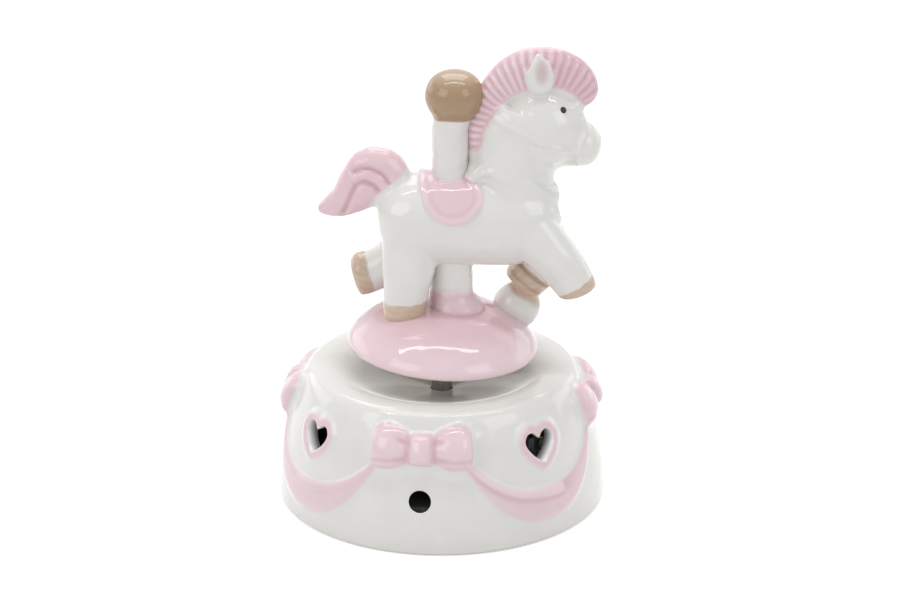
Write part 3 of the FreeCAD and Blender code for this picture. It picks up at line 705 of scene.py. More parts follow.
    def bow(self, across: np.ndarray, up: np.ndarray) -> Relief:
        """Relief of one bow.

        Args:
            across: Distance to the right of its middle.
            up: Distance above its middle.

        Returns:
            Height of the relief, and where it is paler and deeper in colour.
        """
        out = np.abs(across)
        half = graph(self.bow_half, out)
        edge = np.maximum(np.abs(up) - half, out - 15.5)
        level = np.clip(np.abs(up) / half, 0.0, 1.0)
        swell = graph(self.bow_swell, out)
        loops = swell * np.clip(1.0 - level ** 2.3, 0.0, 1.0) ** 0.65 * ease(0.9, -0.9, out - 15.2)
        flank = ease(2.9, 3.9, out)
        upper = ease(1.1, 0.1, np.abs(up - 1.1 - 0.42 * (out - 3.6))) * ease(8.6, 5.4, out) * flank
        lower = ease(1.1, 0.1, np.abs(up + 3.0 + 0.16 * (out - 3.6))) * ease(10.5, 6.0, out) * flank
        tier = ease(1.0, 0.1, np.abs(up + 4.0 + 0.03 * (out - 9.0)))
        tier = tier * ease(7.0, 9.0, out) * ease(14.8, 13.4, out)
        loops = loops - 0.75 * upper - 0.7 * lower - 0.4 * tier
        side = np.clip(out / self.knot_half[0], 0.0, 1.0)
        ends = np.clip(np.abs(up + 0.3) / self.knot_half[1], 0.0, 1.0)
        knot = self.knot_rise * (np.clip(1.0 - side ** 3.4, 0, 1) * np.clip(1.0 - ends ** 3.4, 0, 1)) ** 0.5
        knot -= 0.3 * ease(0.8, 0.1, np.abs(out - 1.1)) * ease(4.4, 2.5, np.abs(up)) * (knot > 1.0)
        lean = 1.0 - 0.016 * np.clip(up, -7.0, 7.0)
        skirt = 0.8 * ease(3.4, -0.8, edge) * (1.0 - 0.55 * ease(1.0, 6.0, up))
        lift = np.maximum(np.maximum(loops, knot) * lean, skirt)
        pinch = ease(1.2, 0.2, np.abs(out - 3.9)) * ease(5.6, 3.6, np.abs(up))
        pale = ease(1.6, 4.2, lift) * 0.55
        deep = np.maximum(np.maximum(0.5 * upper, np.maximum(0.5 * lower, 0.3 * tier)), 0.5 * pinch)
        return lift, pale * (1.0 - deep), deep

    def garland(self, across: np.ndarray, height: np.ndarray, pleat: np.ndarray) -> Relief:
        """Relief of one ribbon swag between two bows.

        Args:
            across: Distance from the swag's lowest point, away from the front or back bow.
            height: Height above the foot.
            pleat: How clearly the fold along the upper edge shows.

        Returns:
            Height of the relief, and where it is paler and deeper in colour; the deeper part includes painted
            shade past the fold's tip.
        """
        span = np.abs(across) / self.swag_half
        top = 16.4 + 12.0 * span ** 2.3
        low = 5.9 + 18.6 * span ** 2.3
        under = top - height
        inside = np.minimum(np.minimum(under, (height - low) * 0.6), self.swag_end - np.abs(across))
        body = 1.05 * ease(-0.8, 1.6, inside)
        tip = 5.4 + 0.25 * (under - 2.0)
        depth = 2.7 + 0.8 * ease(-8.0, 7.0, across)
        below = under - depth
        past = across - tip
        fold = ease(0.6, -0.6, below) * ease(0.6, -0.6, past) * ease(-0.3, 0.5, inside) * pleat
        crease = ease(2.0, 0.2, below) * ease(-0.8, 0.2, below) * ease(0.8, -0.8, past) * pleat
        # Painted shade: the upper part of the swag past the fold's tip is laid deeper pink where it lies in
        # shade
        shade_past_tip = ease(-0.3, 0.5, past) * ease(9.0, 0.5, past) * ease(6.0, 2.0, under) * pleat
        lift = np.maximum(body + 0.5 * fold - 0.2 * crease, 0.0)
        deep = np.maximum(0.55 * crease, 0.5 * shade_past_tip) * ease(0.0, 0.6, inside)
        fade = 0.45 * ease(2.6, 0.2, (height - low) * 0.6)
        return lift, np.maximum(0.6 * fold, fade), deep

    def pierced(self, mesh: Mesh) -> Mesh:
        """Cuts the hearts and the vent through the wall.

        Args:
            mesh: The whole base.

        Returns:
            The pierced base.
        """
        bm = bmesh.new()
        half = math.radians(self.side_turn) / 2
        outline = smooth_line(self.heart() + [self.heart()[0]], 4)[:-1]
        for azimuth in (half, -half, math.pi / 2 + half, -math.pi / 2 - half):
            turn = Matrix.Rotation(azimuth, 4, "Z")
            level = self.heart_level + self.slant * self.heart_radius * math.sin(azimuth)
            rim = [bm.verts.new(turn @ Vector((x, -self.cut_start, z + level))) for x, z in outline]
            drawn = bmesh.ops.extrude_face_region(bm, geom=[bm.faces.new(rim)])["geom"]
            ends = [part for part in drawn if isinstance(part, bmesh.types.BMVert)]
            bmesh.ops.translate(bm, vec=turn @ Vector((0.0, -self.cut_length, 0.0)), verts=ends)
        radius, level = self.vent
        wider, narrower = self.vent_flare
        drill = Matrix.Translation((0.0, -self.drill_middle, level)) @ Matrix.Rotation(math.pi / 2, 4, "X")
        bmesh.ops.create_cone(bm, cap_ends=True, segments=48, radius1=radius + wider,
                              radius2=radius - narrower, depth=self.drill_depth, matrix=drill)
        bmesh.ops.recalc_face_normals(bm, faces=bm.faces)
        cutter = bpy.data.objects.new("cutter", as_mesh(bm, "cutter"))
        carrier = bpy.data.objects.new("carrier", mesh)
        for thing in (cutter, carrier):
            bpy.context.scene.collection.objects.link(thing)
        cut = carrier.modifiers.new("pierce", "BOOLEAN")
        cut.operation = "DIFFERENCE"
        cut.solver = "EXACT"
        cut.object = cutter
        pierced = baked(carrier)
        for thing in (cutter, carrier):
            bpy.data.objects.remove(thing)
        return pierced

    def dress(self) -> None:
        """Builds the base and puts it in the scene."""
        place_piece("porcelain_base", to_row(self.build()), PORCELAIN, Body.BASE, self.replaced)


# The turning figure


@dataclass
class TurntableDisc:
    """Domed pink disc under the horse, tilted a little on its spindle."""

    crown: Sequence[Point2] = (
        (0.0, 60.4), (8.0, 60.2), (16.0, 58.9), (22.0, 56.1), (26.2, 52.7), (28.2, 50.2), (28.95, 48.5),
        (28.7, 47.3), (27.8, 46.6))
    under: Sequence[Point2] = (
        (27.8, 46.6), (26.4, 46.4), (24.8, 47.2), (23.8, 49.6), (18.0, 53.4), (9.4, 55.2), (8.4, 53.0),
        (8.0, 46.8), (5.3, 46.6), (5.1, 50.0))
    tilt: float = 3.4
    pivot: float = 50.0
    shift: float = 0.4
    spot: Point2 = (14.4, 3.2)
    steps: int = 220

    def build(self) -> Mesh:
        """The disc in millimetres, before the figure's turn."""
        bm = lathe(smooth_line(self.crown, 9) + smooth_line(self.under, 4)[1:], self.steps)
        tilt = Matrix.Rotation(math.radians(self.tilt), 4, "Y")
        lean = Matrix.Translation((self.shift, 0, self.pivot)) @ tilt
        bmesh.ops.transform(bm, matrix=lean @ Matrix.Translation((0, 0, -self.pivot)), verts=bm.verts)
        mesh = as_mesh(bm, "disc")
        places, normals = read(mesh)
        places += normals * (waver(places, 0.06) * ease(46.8, 48.5, places[:, 2]))[:, None]
        write(mesh, places)
        paint = Paint(len(places), Glaze.PINK)
        radius = np.hypot(places[:, 0], places[:, 1])
        paint.lay(Glaze.PINK_PALE, 0.5 * ease(20.0, 28.0, radius))
        paint.lay(Glaze.PINK_DEEP, 0.2 * ease(16.0, 6.0, radius))
        pool = np.hypot(places[:, 0] - self.spot[0], places[:, 1] - self.spot[1])
        paint.lay(Glaze.POOLED, 0.9 * ease(2.6, 0.6, pool) * ease(56.0, 57.0, places[:, 2]))
        # Warm tan over the disc's underside inside the rim, which the glossy well below reflects
        crown = graph(self.crown[:6], radius)
        paint.lay(Glaze.UNDERSIDE_TAN, ease(1.2, 2.4, crown - places[:, 2]) * ease(28.2, 27.4, radius))
        paint.store(mesh)
        return mesh

    def dress(self) -> None:
        """Builds the disc and puts it in the scene."""
        place_on_figure("domed_disc", self.build(), ("turntable_disc",))


@dataclass
class CarouselPole:
    """Twisted pole through the horse, with a ball on top and a collar at its foot."""

    upper: Sequence[Point2] = (
        (0.0, 96.0), (5.7, 96.5), (5.6, 104.0), (5.6, 112.0), (5.65, 117.6), (5.9, 119.4), (6.6, 120.6),
        (7.8, 122.5), (8.6, 124.6), (8.8, 126.4), (8.4, 128.8), (7.2, 131.1), (5.3, 132.8), (2.8, 133.8),
        (0.0, 134.1))
    lower: Sequence[Point2] = (
        (0.0, 54.0), (8.5, 54.5), (8.6, 59.8), (8.2, 61.2), (7.4, 62.6), (6.8, 64.0), (6.55, 65.8),
        (6.5, 72.0), (6.5, 80.0), (0.0, 80.5))
    upper_x: float = 2.6
    lower_x: float = 3.0
    ball_shift: float = 1.2
    collar_shift: float = 1.5
    upper_twist: Point2 = (101.0, 116.0)
    lower_twist: Point2 = (65.0, 79.0)
    finial_edge: float = 119.9
    groove: float = 0.22
    pitch: float = 9.0

    def turned(self, profile: Sequence[Point2], x: float, twist: Point2) -> Mesh:
        """One length of pole with its twist.

        Args:
            profile: Radius and height from the foot up.
            x: Where its axis stands.
            twist: Heights where the twist starts and ends.

        Returns:
            Its mesh in millimetres.
        """
        mesh = as_mesh(lathe(smooth_line(profile, 9), 120), "pole")
        low, high = twist
        places, normals = read(mesh)
        angle = np.arctan2(places[:, 1], places[:, 0])
        wave = np.cos(2 * (angle - 2 * math.pi * places[:, 2] / (2 * self.pitch)))
        shaft = ease(low - 1, low + 1, places[:, 2]) * ease(high + 1, high - 1, places[:, 2])
        places -= normals * (self.groove * ease(0.75, 1.0, wave) * shaft)[:, None]
        places[:, 0] += x + self.ball_shift * ease(116.0, 122.0, places[:, 2])
        places[:, 0] += self.collar_shift * ease(65.0, 60.5, places[:, 2])
        write(mesh, places)
        return mesh

    def dress(self) -> None:
        """Builds both lengths and puts them in the scene."""
        self.dress_top()
        self.dress_foot()

    def dress_top(self) -> None:
        """Upper length, with its tan ball."""
        top = self.turned(self.upper, self.upper_x, self.upper_twist)
        places, _ = read(top)
        paint = Paint(len(places))
        edge = self.finial_edge + 0.3 * np.sin(3.0 * np.arctan2(places[:, 1], places[:, 0] - self.upper_x))
        paint.lay(Glaze.TAN, ease(-0.35, 0.45, places[:, 2] - edge))
        paint.lay(Glaze.TAN_PALE, 0.35 * ease(130.0, 133.5, places[:, 2]))
        paint.store(top)
        place_on_figure("pole_top", top, ("pole_upper", "pole_finial"))

    def dress_foot(self) -> None:
        """Lower length, with its pink collar."""
        foot = self.turned(self.lower, self.lower_x, self.lower_twist)
        places, _ = read(foot)
        paint = Paint(len(places))
        ragged = places[:, 2] + 0.35 * np.sin(0.9 * places[:, 0] + 0.4) + 0.2 * np.sin(2.1 * places[:, 0])
        paint.lay(Glaze.PINK, ease(67.4, 64.4, ragged))
        paint.lay(Glaze.PINK_PALE, 0.5 * ease(60.4, 62.0, places[:, 2]) * ease(64.8, 63.2, places[:, 2]))
        paint.lay(Glaze.PINK_DEEP, 0.6 * ease(60.4, 59.2, places[:, 2]))
        paint.store(foot)
        place_on_figure("pole_foot", foot, ("pole_lower", "pole_collar"))


@dataclass(frozen=True)
class Strap:
    """A raised strap: its line in the horse's plane, half width and rise."""

    line: Sequence[Point2]
    half: float
    rise: float


@dataclass(frozen=True)
class Hoof:
    """A hoof: the middle of its top plane, the way down, its reach and how strong its painted shadow lines
    are.
    """

    middle: Point3
    down: Point3
    reach: float
    shadow_lines: float = 0.0


@dataclass
class CarouselHorse:
    """The horse, one casting with a painted mane, tail, saddle and hooves."""

    voxel: float = 0.55
    rounds: int = 14
    torso: Sequence[Station] = (
        (-19.0, 0, 87.0, 3.0, 2.8), (-18.2, 0, 87.1, 7.4, 6.8), (-14.5, 0, 87.6, 11.8, 10.8),
        (-8, 0, 88.0, 14.0, 12.8), (0, 0, 88.0, 14.3, 13.3), (10, 0, 88.1, 14.4, 13.4),
        (20, 0, 88.4, 14.8, 13.2), (27, 0, 89.4, 13.4, 12.0), (32.4, 0, 90.8, 9.6, 8.8),
        (35.2, 0, 91.6, 4.2, 3.8))
    neck: Sequence[Station] = (
        (20.2, 0, 90, 13.6, 11.6), (21.6, 0, 101, 12.2, 10.2), (21.9, 0, 109, 12.4, 9.7),
        (23.2, 0, 116, 11.9, 9.4), (25.2, 0, 122, 9.4, 7.8))
    muzzle: Sequence[Station] = (
        (33, 0, 111.8, 5.0, 5.0), (36, 0, 111.8, 7.0, 6.6), (40.5, 0, 111.5, 7.0, 6.7),
        (44.0, 0, 111.3, 6.3, 6.2), (46.4, 0, 111.2, 4.4, 4.4), (47.5, 0, 111.1, 1.8, 1.8))
    mane: Sequence[Station] = (
        (10.6, 0, 103.6, 2.2, 2.4), (9.9, 0, 107.6, 2.2, 2.6), (10.0, 0, 111.4, 2.3, 2.9),
        (10.9, 0, 116.5, 3.4, 3.4), (13.4, 0, 123.6, 4.4, 3.6), (18.9, 0, 129.8, 6.5, 4.0),
        (25.1, 0, 132.7, 8.1, 4.2), (31.8, 0, 133.4, 7.9, 4.2), (38.5, 0, 131.2, 6.9, 3.9),
        (42.2, 0, 127.6, 4.7, 3.2), (42.4, 0, 123.8, 1.6, 1.6))
    tail: Sequence[Station] = (
        (-12.0, 0, 95.0, 5.9, 4.8), (-18.6, 0, 101.4, 9.2, 5.2), (-23.4, 0, 98.6, 8.1, 5.0),
        (-28.5, 0, 94.2, 5.5, 4.2), (-33.4, 0, 91.8, 3.5, 3.0), (-37.2, 0, 90.9, 1.1, 1.1))
    near_hind: Sequence[Station] = (
        (-8.8, -4.8, 88, 8.6, 6.4), (-9.8, -6.2, 76, 8.2, 6.6), (-10.7, -6.4, 67, 6.9, 6.2),
        (-11.3, -6.3, 60.2, 6.45, 5.7), (-11.3, -6.3, 58.4, 5.9, 5.2))
    far_hind: Sequence[Station] = (
        (-8.0, 4.8, 87, 8.0, 6.2), (-12.0, 7.0, 75, 7.2, 6.5), (-18.6, 7.8, 69.4, 6.4, 6.2),
        (-24.3, 8.0, 67.2, 6.8, 6.2), (-26.1, 8.0, 66.8, 6.0, 5.6), (-26.9, 8.0, 66.6, 4.2, 4.0))
    near_fore: Sequence[Station] = (
        (24.6, -5.4, 87, 8.8, 6.8), (30.6, -7.0, 81.8, 7.7, 6.7), (35.9, -7.8, 75.8, 7.1, 6.5),
        (40.4, -8.0, 69.0, 6.2, 6.1), (41.2, -8.0, 67.4, 5.4, 5.3))
    far_fore: Sequence[Station] = (
        (25.4, 5.4, 86, 8.4, 6.4), (30.4, 7.0, 79, 7.6, 6.4), (30.3, 7.8, 71.6, 7.4, 6.6),
        (24.8, 8.0, 64.4, 6.6, 6.4), (23.8, 8.0, 63.2, 5.8, 5.6))
    hairline: Sequence[Point2] = (
        (10.4, 110.2), (11.9, 112.4), (12.4, 116.2), (14.2, 120.4), (17.2, 124.2), (20.9, 127.3),
        (26.2, 129.4), (31.4, 130.2), (36.0, 129.4), (39.2, 127.2), (42.4, 124.0))
    crest: Sequence[Point2] = (
        (46.0, 124.6), (49.0, 131.0), (41.0, 142.0), (28.0, 146.0), (14.0, 140.0), (6.0, 126.0),
        (5.6, 110.6), (8.0, 110.0))
    tail_grooves: Sequence[Sequence[Point2]] = (
        ((-26.0, 104.0), (-24.2, 104.9), (-22.3, 105.1), (-20.6, 104.9), (-18.5, 104.0), (-16.8, 102.4),
         (-15.3, 100.0)),
        ((-29.2, 90.6), (-28.4, 92.6), (-27.1, 96.7), (-25.8, 99.6), (-24.2, 100.6), (-22.8, 101.0),
         (-21.6, 100.6), (-20.3, 99.9), (-18.8, 98.3)))
    tail_edge: Sequence[Point2] = (
        (-10.4, 104.5), (-13.5, 101.5), (-16.5, 99.0), (-19.5, 96.5), (-21.5, 93.5), (-24.0, 88.0),
        (-42.0, 86.0), (-42.0, 116.0), (-10.0, 116.0))
    flap: Sequence[Point2] = (
        (-7.0, 108.0), (-6.6, 100.0), (-5.2, 95.5), (-2.4, 92.0), (0.5, 90.6), (3.4, 90.1), (6.6, 90.6),
        (9.6, 92.4), (12.0, 95.6), (12.6, 98.0), (11.8, 100.1), (10.4, 101.8), (8.6, 103.2), (7.0, 104.2),
        (5.6, 108.0))
    cheek_strap: Strap = Strap(
        ((16.0, 121.0), (20.8, 118.8), (26.9, 115.5), (34.7, 112.5), (39.6, 110.6)), 0.8, 0.6)
    nose_strap: Strap = Strap(((40.2, 107.0), (40.4, 109.8), (41.4, 114.6), (43.4, 118.8)), 0.8, 0.6)
    chest_strap: Strap = Strap(
        ((11.8, 105.4), (17.4, 104.0), (23.4, 102.2), (29.4, 99.6), (35.8, 95.4)), 1.2, 0.36)
    pleats: Sequence[Sequence[Point2]] = (
        ((8.0, 102.6), (11.0, 105.8), (13.4, 107.6)),
        ((8.6, 102.0), (12.0, 104.2), (15.2, 105.2)),
        ((9.4, 101.2), (12.4, 102.0), (15.0, 102.2)))
    hooves: Sequence[Hoof] = (
        Hoof((-11.0, -7.2, 64.2), (0.05, 0.0, -1.0), 10.0),
        Hoof((-21.8, 8.0, 68.4), (-0.96, 0.0, -0.28), 9.5),
        Hoof((39.9, -8.0, 70.0), (0.52, 0.0, -0.85), 9.0),
        # Far fore hoof, behind the near fore leg, with painted shadow lines
        Hoof((29.0, 8.0, 68.4), (-0.64, 0.0, -0.77), 10.5, shadow_lines=0.75))
    ear: Sequence[Station] = (
        (28.8, 3.8, 128.6, 3.2, 1.8), (28.7, 4.9, 132.6, 4.4, 2.4), (28.9, 5.4, 136.0, 3.7, 1.9),
        (28.5, 5.4, 139.0, 2.1, 1.3), (28.1, 5.3, 141.2, 0.5, 0.5))
    far_ear_drop: float = 2.6
    ear_hollow: Point2 = (29.5, 135.4)
    ear_hollow_half: Point2 = (2.4, 4.4)
    # Head, prop under the folded hoof, shoulders, bridge of the nose, forehead and pleats: middle, half sizes
    lumps: Sequence[Tuple[Point3, Point3]] = (
        ((30, 0, 115.8), (12.4, 9.8, 13.0)),
        ((22.9, 8.0, 56.8), (7.4, 6.8, 7.4)),
        ((24.2, 0.0, 95.4), (11.3, 9.6, 8.6)),
        ((39.2, 0.0, 117.2), (4.3, 5.0, 4.9)),
        ((38.8, 0.0, 123.4), (3.8, 4.0, 3.4)),
        ((11.0, 0.0, 103.4), (3.9, 7.2, 4.2)))
    # Jaw and nostril of the far side, which the near side mirrors
    side_lumps: Sequence[Tuple[Point3, Point3]] = (
        ((31.2, 4.6, 111.8), (7.0, 5.0, 5.8)),
        ((44.2, 4.0, 113.4), (1.5, 1.5, 1.5)))
    prop_middle: Point3 = (22.9, 8.0, 56.4)
    fan_centre: Point2 = (28.5, 116.0)
    fan_step: float = 6.8
    eye: Point2 = (35.7, 123.9)
    eye_radius: float = 1.05
    eye_sink: float = 0.35
    replaced: Sequence[str] = (
        "horse_torso", "horse_neck", "horse_head", "horse_ears", "horse_mane", "horse_tail", "saddle",
        "leg_near_hind", "leg_far_hind", "leg_near_fore", "leg_far_fore", "hoof_prop")

    def build(self) -> Mesh:
        """The horse in millimetres, before the figure's turn."""
        bm = bmesh.new()
        for form in (self.torso, self.neck, self.muzzle, self.mane, self.tail, self.near_hind, self.far_hind,
                     self.near_fore, self.far_fore):
            loft(bm, form)
        for middle, halves in self.lumps:
            ball(bm, middle, halves)
        for side in (-1, 1):
            for (x, y, z), halves in self.side_lumps:
                ball(bm, (x, side * y, z), halves)
            drop = self.far_ear_drop * max(side, 0)
            root, *rest = [(x, side * y, z, along, across) for x, y, z, along, across in self.ear]
            loft(bm, [root] + [(x, y, z - drop, along, across) for x, y, z, along, across in rest], 20, 4)
        mesh = remeshed(bm, self.voxel, self.rounds)
        places, normals = read(mesh)
        paint = Paint(len(places))
        self.relieve(places, normals, paint)
        write(mesh, places)
        paint.store(mesh)
        return mesh

    def relieve(self, places: np.ndarray, normals: np.ndarray, paint: Paint) -> None:
        """Carves and paints the mane, tail, saddle, straps, ears and hooves.

        Args:
            places: Points of the horse, moved in place.
            normals: Their normals.
            paint: Paint of the horse.
        """
        flat = places[:, [0, 2]].copy()
        y = places[:, 1].copy()
        lift = waver(places, 0.07)
        lift += self.carve_mane(flat, y, paint)
        lift += self.carve_tail(flat, paint)
        lift += self.carve_saddle(flat, paint)
        for strap in (self.cheek_strap, self.nose_strap, self.chest_strap):
            cover = ease(strap.half + 0.5, strap.half - 0.4, distance_to(flat, strap.line))
            lift += strap.rise * cover * ease(1.0, 3.0, np.abs(y))
        for pleat in self.pleats:
            lift += 0.4 * ease(1.0, 0.2, distance_to(flat, pleat)) * ease(3.0, 5.0, np.abs(y))
        self.paint_hooves(places, paint)
        lift -= self.hollow_ears(flat, y, paint)
        places += normals * lift[:, None]

    def hollow_ears(self, flat: np.ndarray, y: np.ndarray, paint: Paint) -> np.ndarray:
        """Hollow of each ear.

        Args:
            flat: Points in the horse's plane.
            y: Distance across it.
            paint: Paint of the horse.

        Returns:
            How far each point is sunk.
        """
        x, z = flat.T
        out = (x - self.ear_hollow[0]) / self.ear_hollow_half[0]
        up = (np.where(y > 0.0, z + self.far_ear_drop, z) - self.ear_hollow[1]) / self.ear_hollow_half[1]
        hollow = ease(1.25, 0.3, np.hypot(out, up)) * ease(5.6, 6.3, np.abs(y))
        paint.lay(Glaze.EAR, 0.9 * hollow)
        return 0.8 * hollow

    def carve_mane(self, flat: np.ndarray, y: np.ndarray, paint: Paint) -> np.ndarray:
        """Locks of the mane.

        Args:
            flat: Points in the horse's plane.
            y: Distance across it.
            paint: Paint of the horse.

        Returns:
            How far each point is raised.
        """
        inside = depth_inside(flat, list(self.hairline) + list(self.crest))
        x, z = flat.T
        fan = np.degrees(np.arctan2(z - self.fan_centre[1], x - self.fan_centre[0])) % 360.0
        ear = ease(4.4, 5.2, np.abs(y)) * ease(9.0, 6.0, np.hypot(x - 28.8, (z - 133.0) * 0.8))
        cover = ease(-0.5, 0.45, inside) * (1.0 - ear) * ease(6.4, 5.2, np.abs(y))
        lock = 0.5 + 0.5 * np.cos(2 * math.pi * fan / self.fan_step)
        strength = cover * ease(0.1, 1.6, inside) * ease(0.7, 2.8, np.abs(y))
        front = ease(26.0, 36.0, x)
        paint.lay(Glaze.PINK, cover)
        paint.lay(Glaze.PINK_ROSE, cover * (0.12 + 0.75 * front))
        paint.lay(Glaze.PINK_DEEP, strength * ease(0.5, 0.0, lock) * 0.6)
        paint.lay(Glaze.PINK_PALE, strength * ease(0.5, 1.0, lock) * (0.85 - 0.6 * front))
        ridge = 0.34 * ease(0.0, 0.7, lock) - 0.26
        return strength * ridge

    def carve_tail(self, flat: np.ndarray, paint: Paint) -> np.ndarray:
        """Waves of the tail.

        Args:
            flat: Points in the horse's plane.
            paint: Paint of the horse.

        Returns:
            How far each point is raised.
        """
        inside = depth_inside(flat, self.tail_edge)
        x, z = flat.T
        cover = ease(-0.7, 0.7, inside) * ease(-9.0, -10.5, x)
        groove = np.zeros(len(flat))
        for line in self.tail_grooves:
            groove = np.maximum(groove, ease(1.5, 0.1, distance_to(flat, line)))
        paint.lay(Glaze.PINK, cover)
        paint.lay(Glaze.PINK_PALE, 0.35 * cover * ease(-24.0, -14.0, x) * ease(107.0, 99.0, z))
        paint.lay(Glaze.PINK_DEEP, 0.75 * cover * groove ** 2)
        return -0.95 * cover * groove

    def carve_saddle(self, flat: np.ndarray, paint: Paint) -> np.ndarray:
        """Saddle blanket with its rolled border.

        Args:
            flat: Points in the horse's plane.
            paint: Paint of the horse.

        Returns:
            How far each point is raised.
        """
        inside = depth_inside(flat, self.flap)
        cover = ease(-0.35, 0.45, inside) * ease(84.0, 86.0, flat[:, 1])
        roll = ease(2.6, 1.3, inside) * cover
        paint.lay(Glaze.PINK, cover)
        paint.lay(Glaze.PINK_PALE, 0.35 * roll + 0.25 * cover)
        paint.lay(Glaze.PINK_DEEP, 0.2 * ease(0.9, 0.0, np.abs(inside - 2.6)) * cover)
        return 0.5 * cover + 0.4 * roll

    def paint_hooves(self, places: np.ndarray, paint: Paint) -> None:
        """Tan hooves, each below a plane across its leg, with brush marks and, where a hoof has them, painted
        shadow lines.
        """
        x, y, z = places.T
        streak = 0.15 * np.sin(x * 1.3 + y * 1.7)
        marks = 0.5 + 0.5 * np.sin(z * 2.9 + 1.3 * np.sin(x * 0.9 + y))
        prop = ease(7.6, 7.0, np.linalg.norm(places - np.array(self.prop_middle), axis=1))
        for hoof in self.hooves:
            gap = places - np.array(hoof.middle)
            below = gap @ np.array(hoof.down)
            spread = np.sqrt(np.maximum((gap ** 2).sum(axis=1) - below ** 2, 0.0))
            cover = ease(-0.35, 0.45, below + streak) * ease(9.5, 8.5, below)
            cover = cover * ease(hoof.reach, hoof.reach - 1.0, spread) * (1.0 - prop)
            paint.lay(Glaze.TAN, cover)
            paint.lay(Glaze.TAN_PALE, cover * (0.78 + 0.15 * marks))
            # Painted shadow: a dark line at the top of the tan where the near fore leg's shadow ends, and a
            # second painted dark line lower down
            shadow_line = ease(0.2, 0.7, below) * ease(2.0, 1.2, below) + 0.6 * ease(0.8, 0.2, np.abs(below - 4.4))
            paint.lay(Glaze.TAN_SHADOW, hoof.shadow_lines * cover * shadow_line)

    def dress(self) -> None:
        """Builds the horse and its eyes and puts them in the scene."""
        horse = self.build()
        places, normals = read(horse)
        bm = bmesh.new()
        for side in (-1, 1):
            away = np.hypot(places[:, 0] - self.eye[0], places[:, 2] - self.eye[1])
            spot = int(np.where(places[:, 1] * side > 2.0, away, np.inf).argmin())
            middle = places[spot] - self.eye_sink * normals[spot]
            ball(bm, tuple(middle), (self.eye_radius, self.eye_radius, self.eye_radius))
        place_on_figure("carousel_horse", horse, self.replaced)
        place_on_figure("painted_eyes", as_mesh(bm, "eyes"), finish=EYE_BLACK)


# The movement keeps its CAD solids


@dataclass
class Movement:
    """Metal and plastic parts of the movement, which keep their solids and get real finishes."""

    record: Dict = field(default_factory=lambda: frame["record"])

    def dress(self) -> None:
        """Gives each solid the finish of its slot."""
        for row in self.record["subparts"]:
            finish: Optional[Toned] = STOCK.get(row["material_slot"])
            if finish is None:
                continue
            node = frame["nodes"][row["node"]]
            node.data.materials.clear()
            node.data.materials.append(finish.material())
            LOG.info("%s: %s", row["node"], finish.name)


# Room and camera


@dataclass(frozen=True)
class Lamp:
    """A soft box: degrees right of the camera and above the floor, metres away, its size and its watts."""

    name: str
    azimuth: float
    elevation: float
    away: float
    size: Point2
    power: float


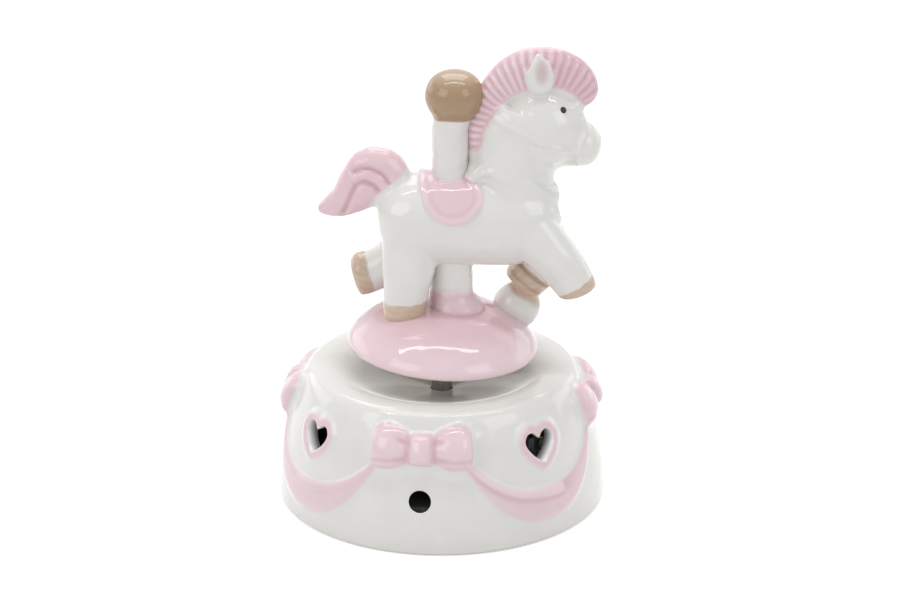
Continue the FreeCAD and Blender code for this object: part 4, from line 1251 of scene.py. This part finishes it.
@dataclass
class Studio:
    """Pale floor, soft boxes at the sides and behind, a strip overhead and the photograph's view."""

    azimuth: float = VIEW_AZIMUTH
    eye: Point3 = (2.51, -838.09, 389.59)
    target: Point3 = (2.51, 0.0, 61.55)
    lens: float = 118.73
    sensor: float = 36.0
    world: float = 0.47
    floor_half: float = 6.0
    floor_drop: float = 0.0001
    floor_tone: float = 0.86
    floor_glow: float = 0.45
    lamp_target: Point3 = (0.0, 0.0, 0.06)
    lamps: Sequence[Lamp] = (
        Lamp("left_box", -50.0, 29.0, 1.0, (0.6, 0.5), 1.8),
        Lamp("right_box", 50.0, 29.0, 1.0, (0.46, 0.46), 1.15),
        Lamp("top_strip", 0.0, 84.0, 0.9, (1.1, 0.07), 2.0),
        Lamp("back_box", 178.0, 60.0, 1.2, (1.0, 0.8), 6.2),
        Lamp("low_left", -125.0, 12.0, 1.0, (0.8, 0.36), 0.9),
        Lamp("low_right", 125.0, 12.0, 1.0, (0.8, 0.36), 0.9))

    def aim(self, thing: bpy.types.Object, place: Vector, target: Vector) -> None:
        """Stands a lamp or camera at place, looking at target."""
        thing.location = place
        thing.rotation_euler = (target - place).to_track_quat("-Z", "Y").to_euler()
        bpy.context.scene.collection.objects.link(thing)

    def camera(self) -> None:
        """The photograph's camera."""
        turn = Matrix.Rotation(math.radians(self.azimuth), 4, "Z")
        data = bpy.data.cameras.new("view")
        data.lens = self.lens
        data.sensor_width = self.sensor
        data.clip_start = 0.01
        data.clip_end = 20.0
        view = bpy.data.objects.new("view", data)
        self.aim(view, turn @ (Vector(self.eye) * MM), turn @ (Vector(self.target) * MM))
        bpy.context.scene.camera = view

    def hang(self, lamp: Lamp) -> None:
        """Hangs a soft box on a sphere about the object."""
        data = bpy.data.lights.new(lamp.name, "AREA")
        data.shape = "RECTANGLE"
        data.size, data.size_y = lamp.size
        data.energy = lamp.power
        turn = math.radians(self.azimuth + lamp.azimuth)
        rise = math.radians(lamp.elevation)
        ray = Vector((math.sin(turn) * math.cos(rise), -math.cos(turn) * math.cos(rise), math.sin(rise)))
        target = Vector(self.lamp_target)
        self.aim(bpy.data.objects.new(lamp.name, data), target + lamp.away * ray, target)

    def backdrop(self) -> None:
        """World that is white to the camera and in reflections, and a soft fill elsewhere."""
        world = bpy.data.worlds.new("room")
        world.use_nodes = True
        bpy.context.scene.world = world
        tree = world.node_tree
        path = tree.nodes.new("ShaderNodeLightPath")
        shown = self.shown(tree, path)
        level = tree.nodes.new("ShaderNodeMapRange")
        level.inputs["To Min"].default_value = self.world
        level.inputs["To Max"].default_value = 1.0
        tree.links.new(shown, level.inputs["Value"])
        tree.links.new(level.outputs["Result"], tree.nodes["Background"].inputs["Strength"])
        tree.nodes["Background"].inputs["Color"].default_value = (1.0, 1.0, 1.0, 1.0)

    @staticmethod
    def shown(tree: Tree, path: Node) -> Socket:
        """Socket that is 1 for camera, glossy and transmission rays.

        Args:
            tree: Node tree that takes the nodes.
            path: Its Light Path node.

        Returns:
            The socket.
        """
        socket = path.outputs["Is Camera Ray"]
        for name in ("Is Glossy Ray", "Is Transmission Ray"):
            either = tree.nodes.new("ShaderNodeMath")
            either.operation = "MAXIMUM"
            tree.links.new(socket, either.inputs[0])
            tree.links.new(path.outputs[name], either.inputs[1])
            socket = either.outputs[0]
        return socket

    def floor(self) -> None:
        """Wide pale floor that keeps the object's shadow."""
        bm = bmesh.new()
        bmesh.ops.create_grid(bm, x_segments=2, y_segments=2, size=self.floor_half)
        bmesh.ops.translate(bm, vec=(0.0, 0.0, -self.floor_drop), verts=bm.verts)
        mesh = as_mesh(bm, "floor")
        material = bpy.data.materials.new("pale_floor")
        material.use_nodes = True
        tree = material.node_tree
        shader = tree.nodes["Principled BSDF"]
        shader.inputs["Base Color"].default_value = (*[self.floor_tone] * 3, 1.0)
        shader.inputs["Roughness"].default_value = 0.9
        shader.inputs["Specular IOR Level"].default_value = 0.0
        shader.inputs["Emission Color"].default_value = (1.0, 1.0, 1.0, 1.0)
        path = tree.nodes.new("ShaderNodeLightPath")
        glow = tree.nodes.new("ShaderNodeMath")
        glow.operation = "MULTIPLY"
        glow.inputs[1].default_value = self.floor_glow
        tree.links.new(self.shown(tree, path), glow.inputs[0])
        tree.links.new(glow.outputs[0], shader.inputs["Emission Strength"])
        mesh.materials.append(material)
        ground = bpy.data.objects.new("floor", mesh)
        bpy.context.scene.collection.objects.link(ground)

    def dress(self) -> None:
        """Sets the room, lamps and camera."""
        bpy.context.scene.view_settings.view_transform = "Standard"
        self.camera()
        self.backdrop()
        self.floor()
        for lamp in self.lamps:
            self.hang(lamp)


def main() -> None:
    """Builds each sub-assembly and the room, logging each piece as it is made."""
    logging.basicConfig(level=logging.INFO, format="%(name)s %(message)s")
    Studio().dress()
    PorcelainBase().dress()
    TurntableDisc().dress()
    CarouselPole().dress()
    CarouselHorse().dress()
    Movement().dress()


if __name__ == "__main__":
    main()
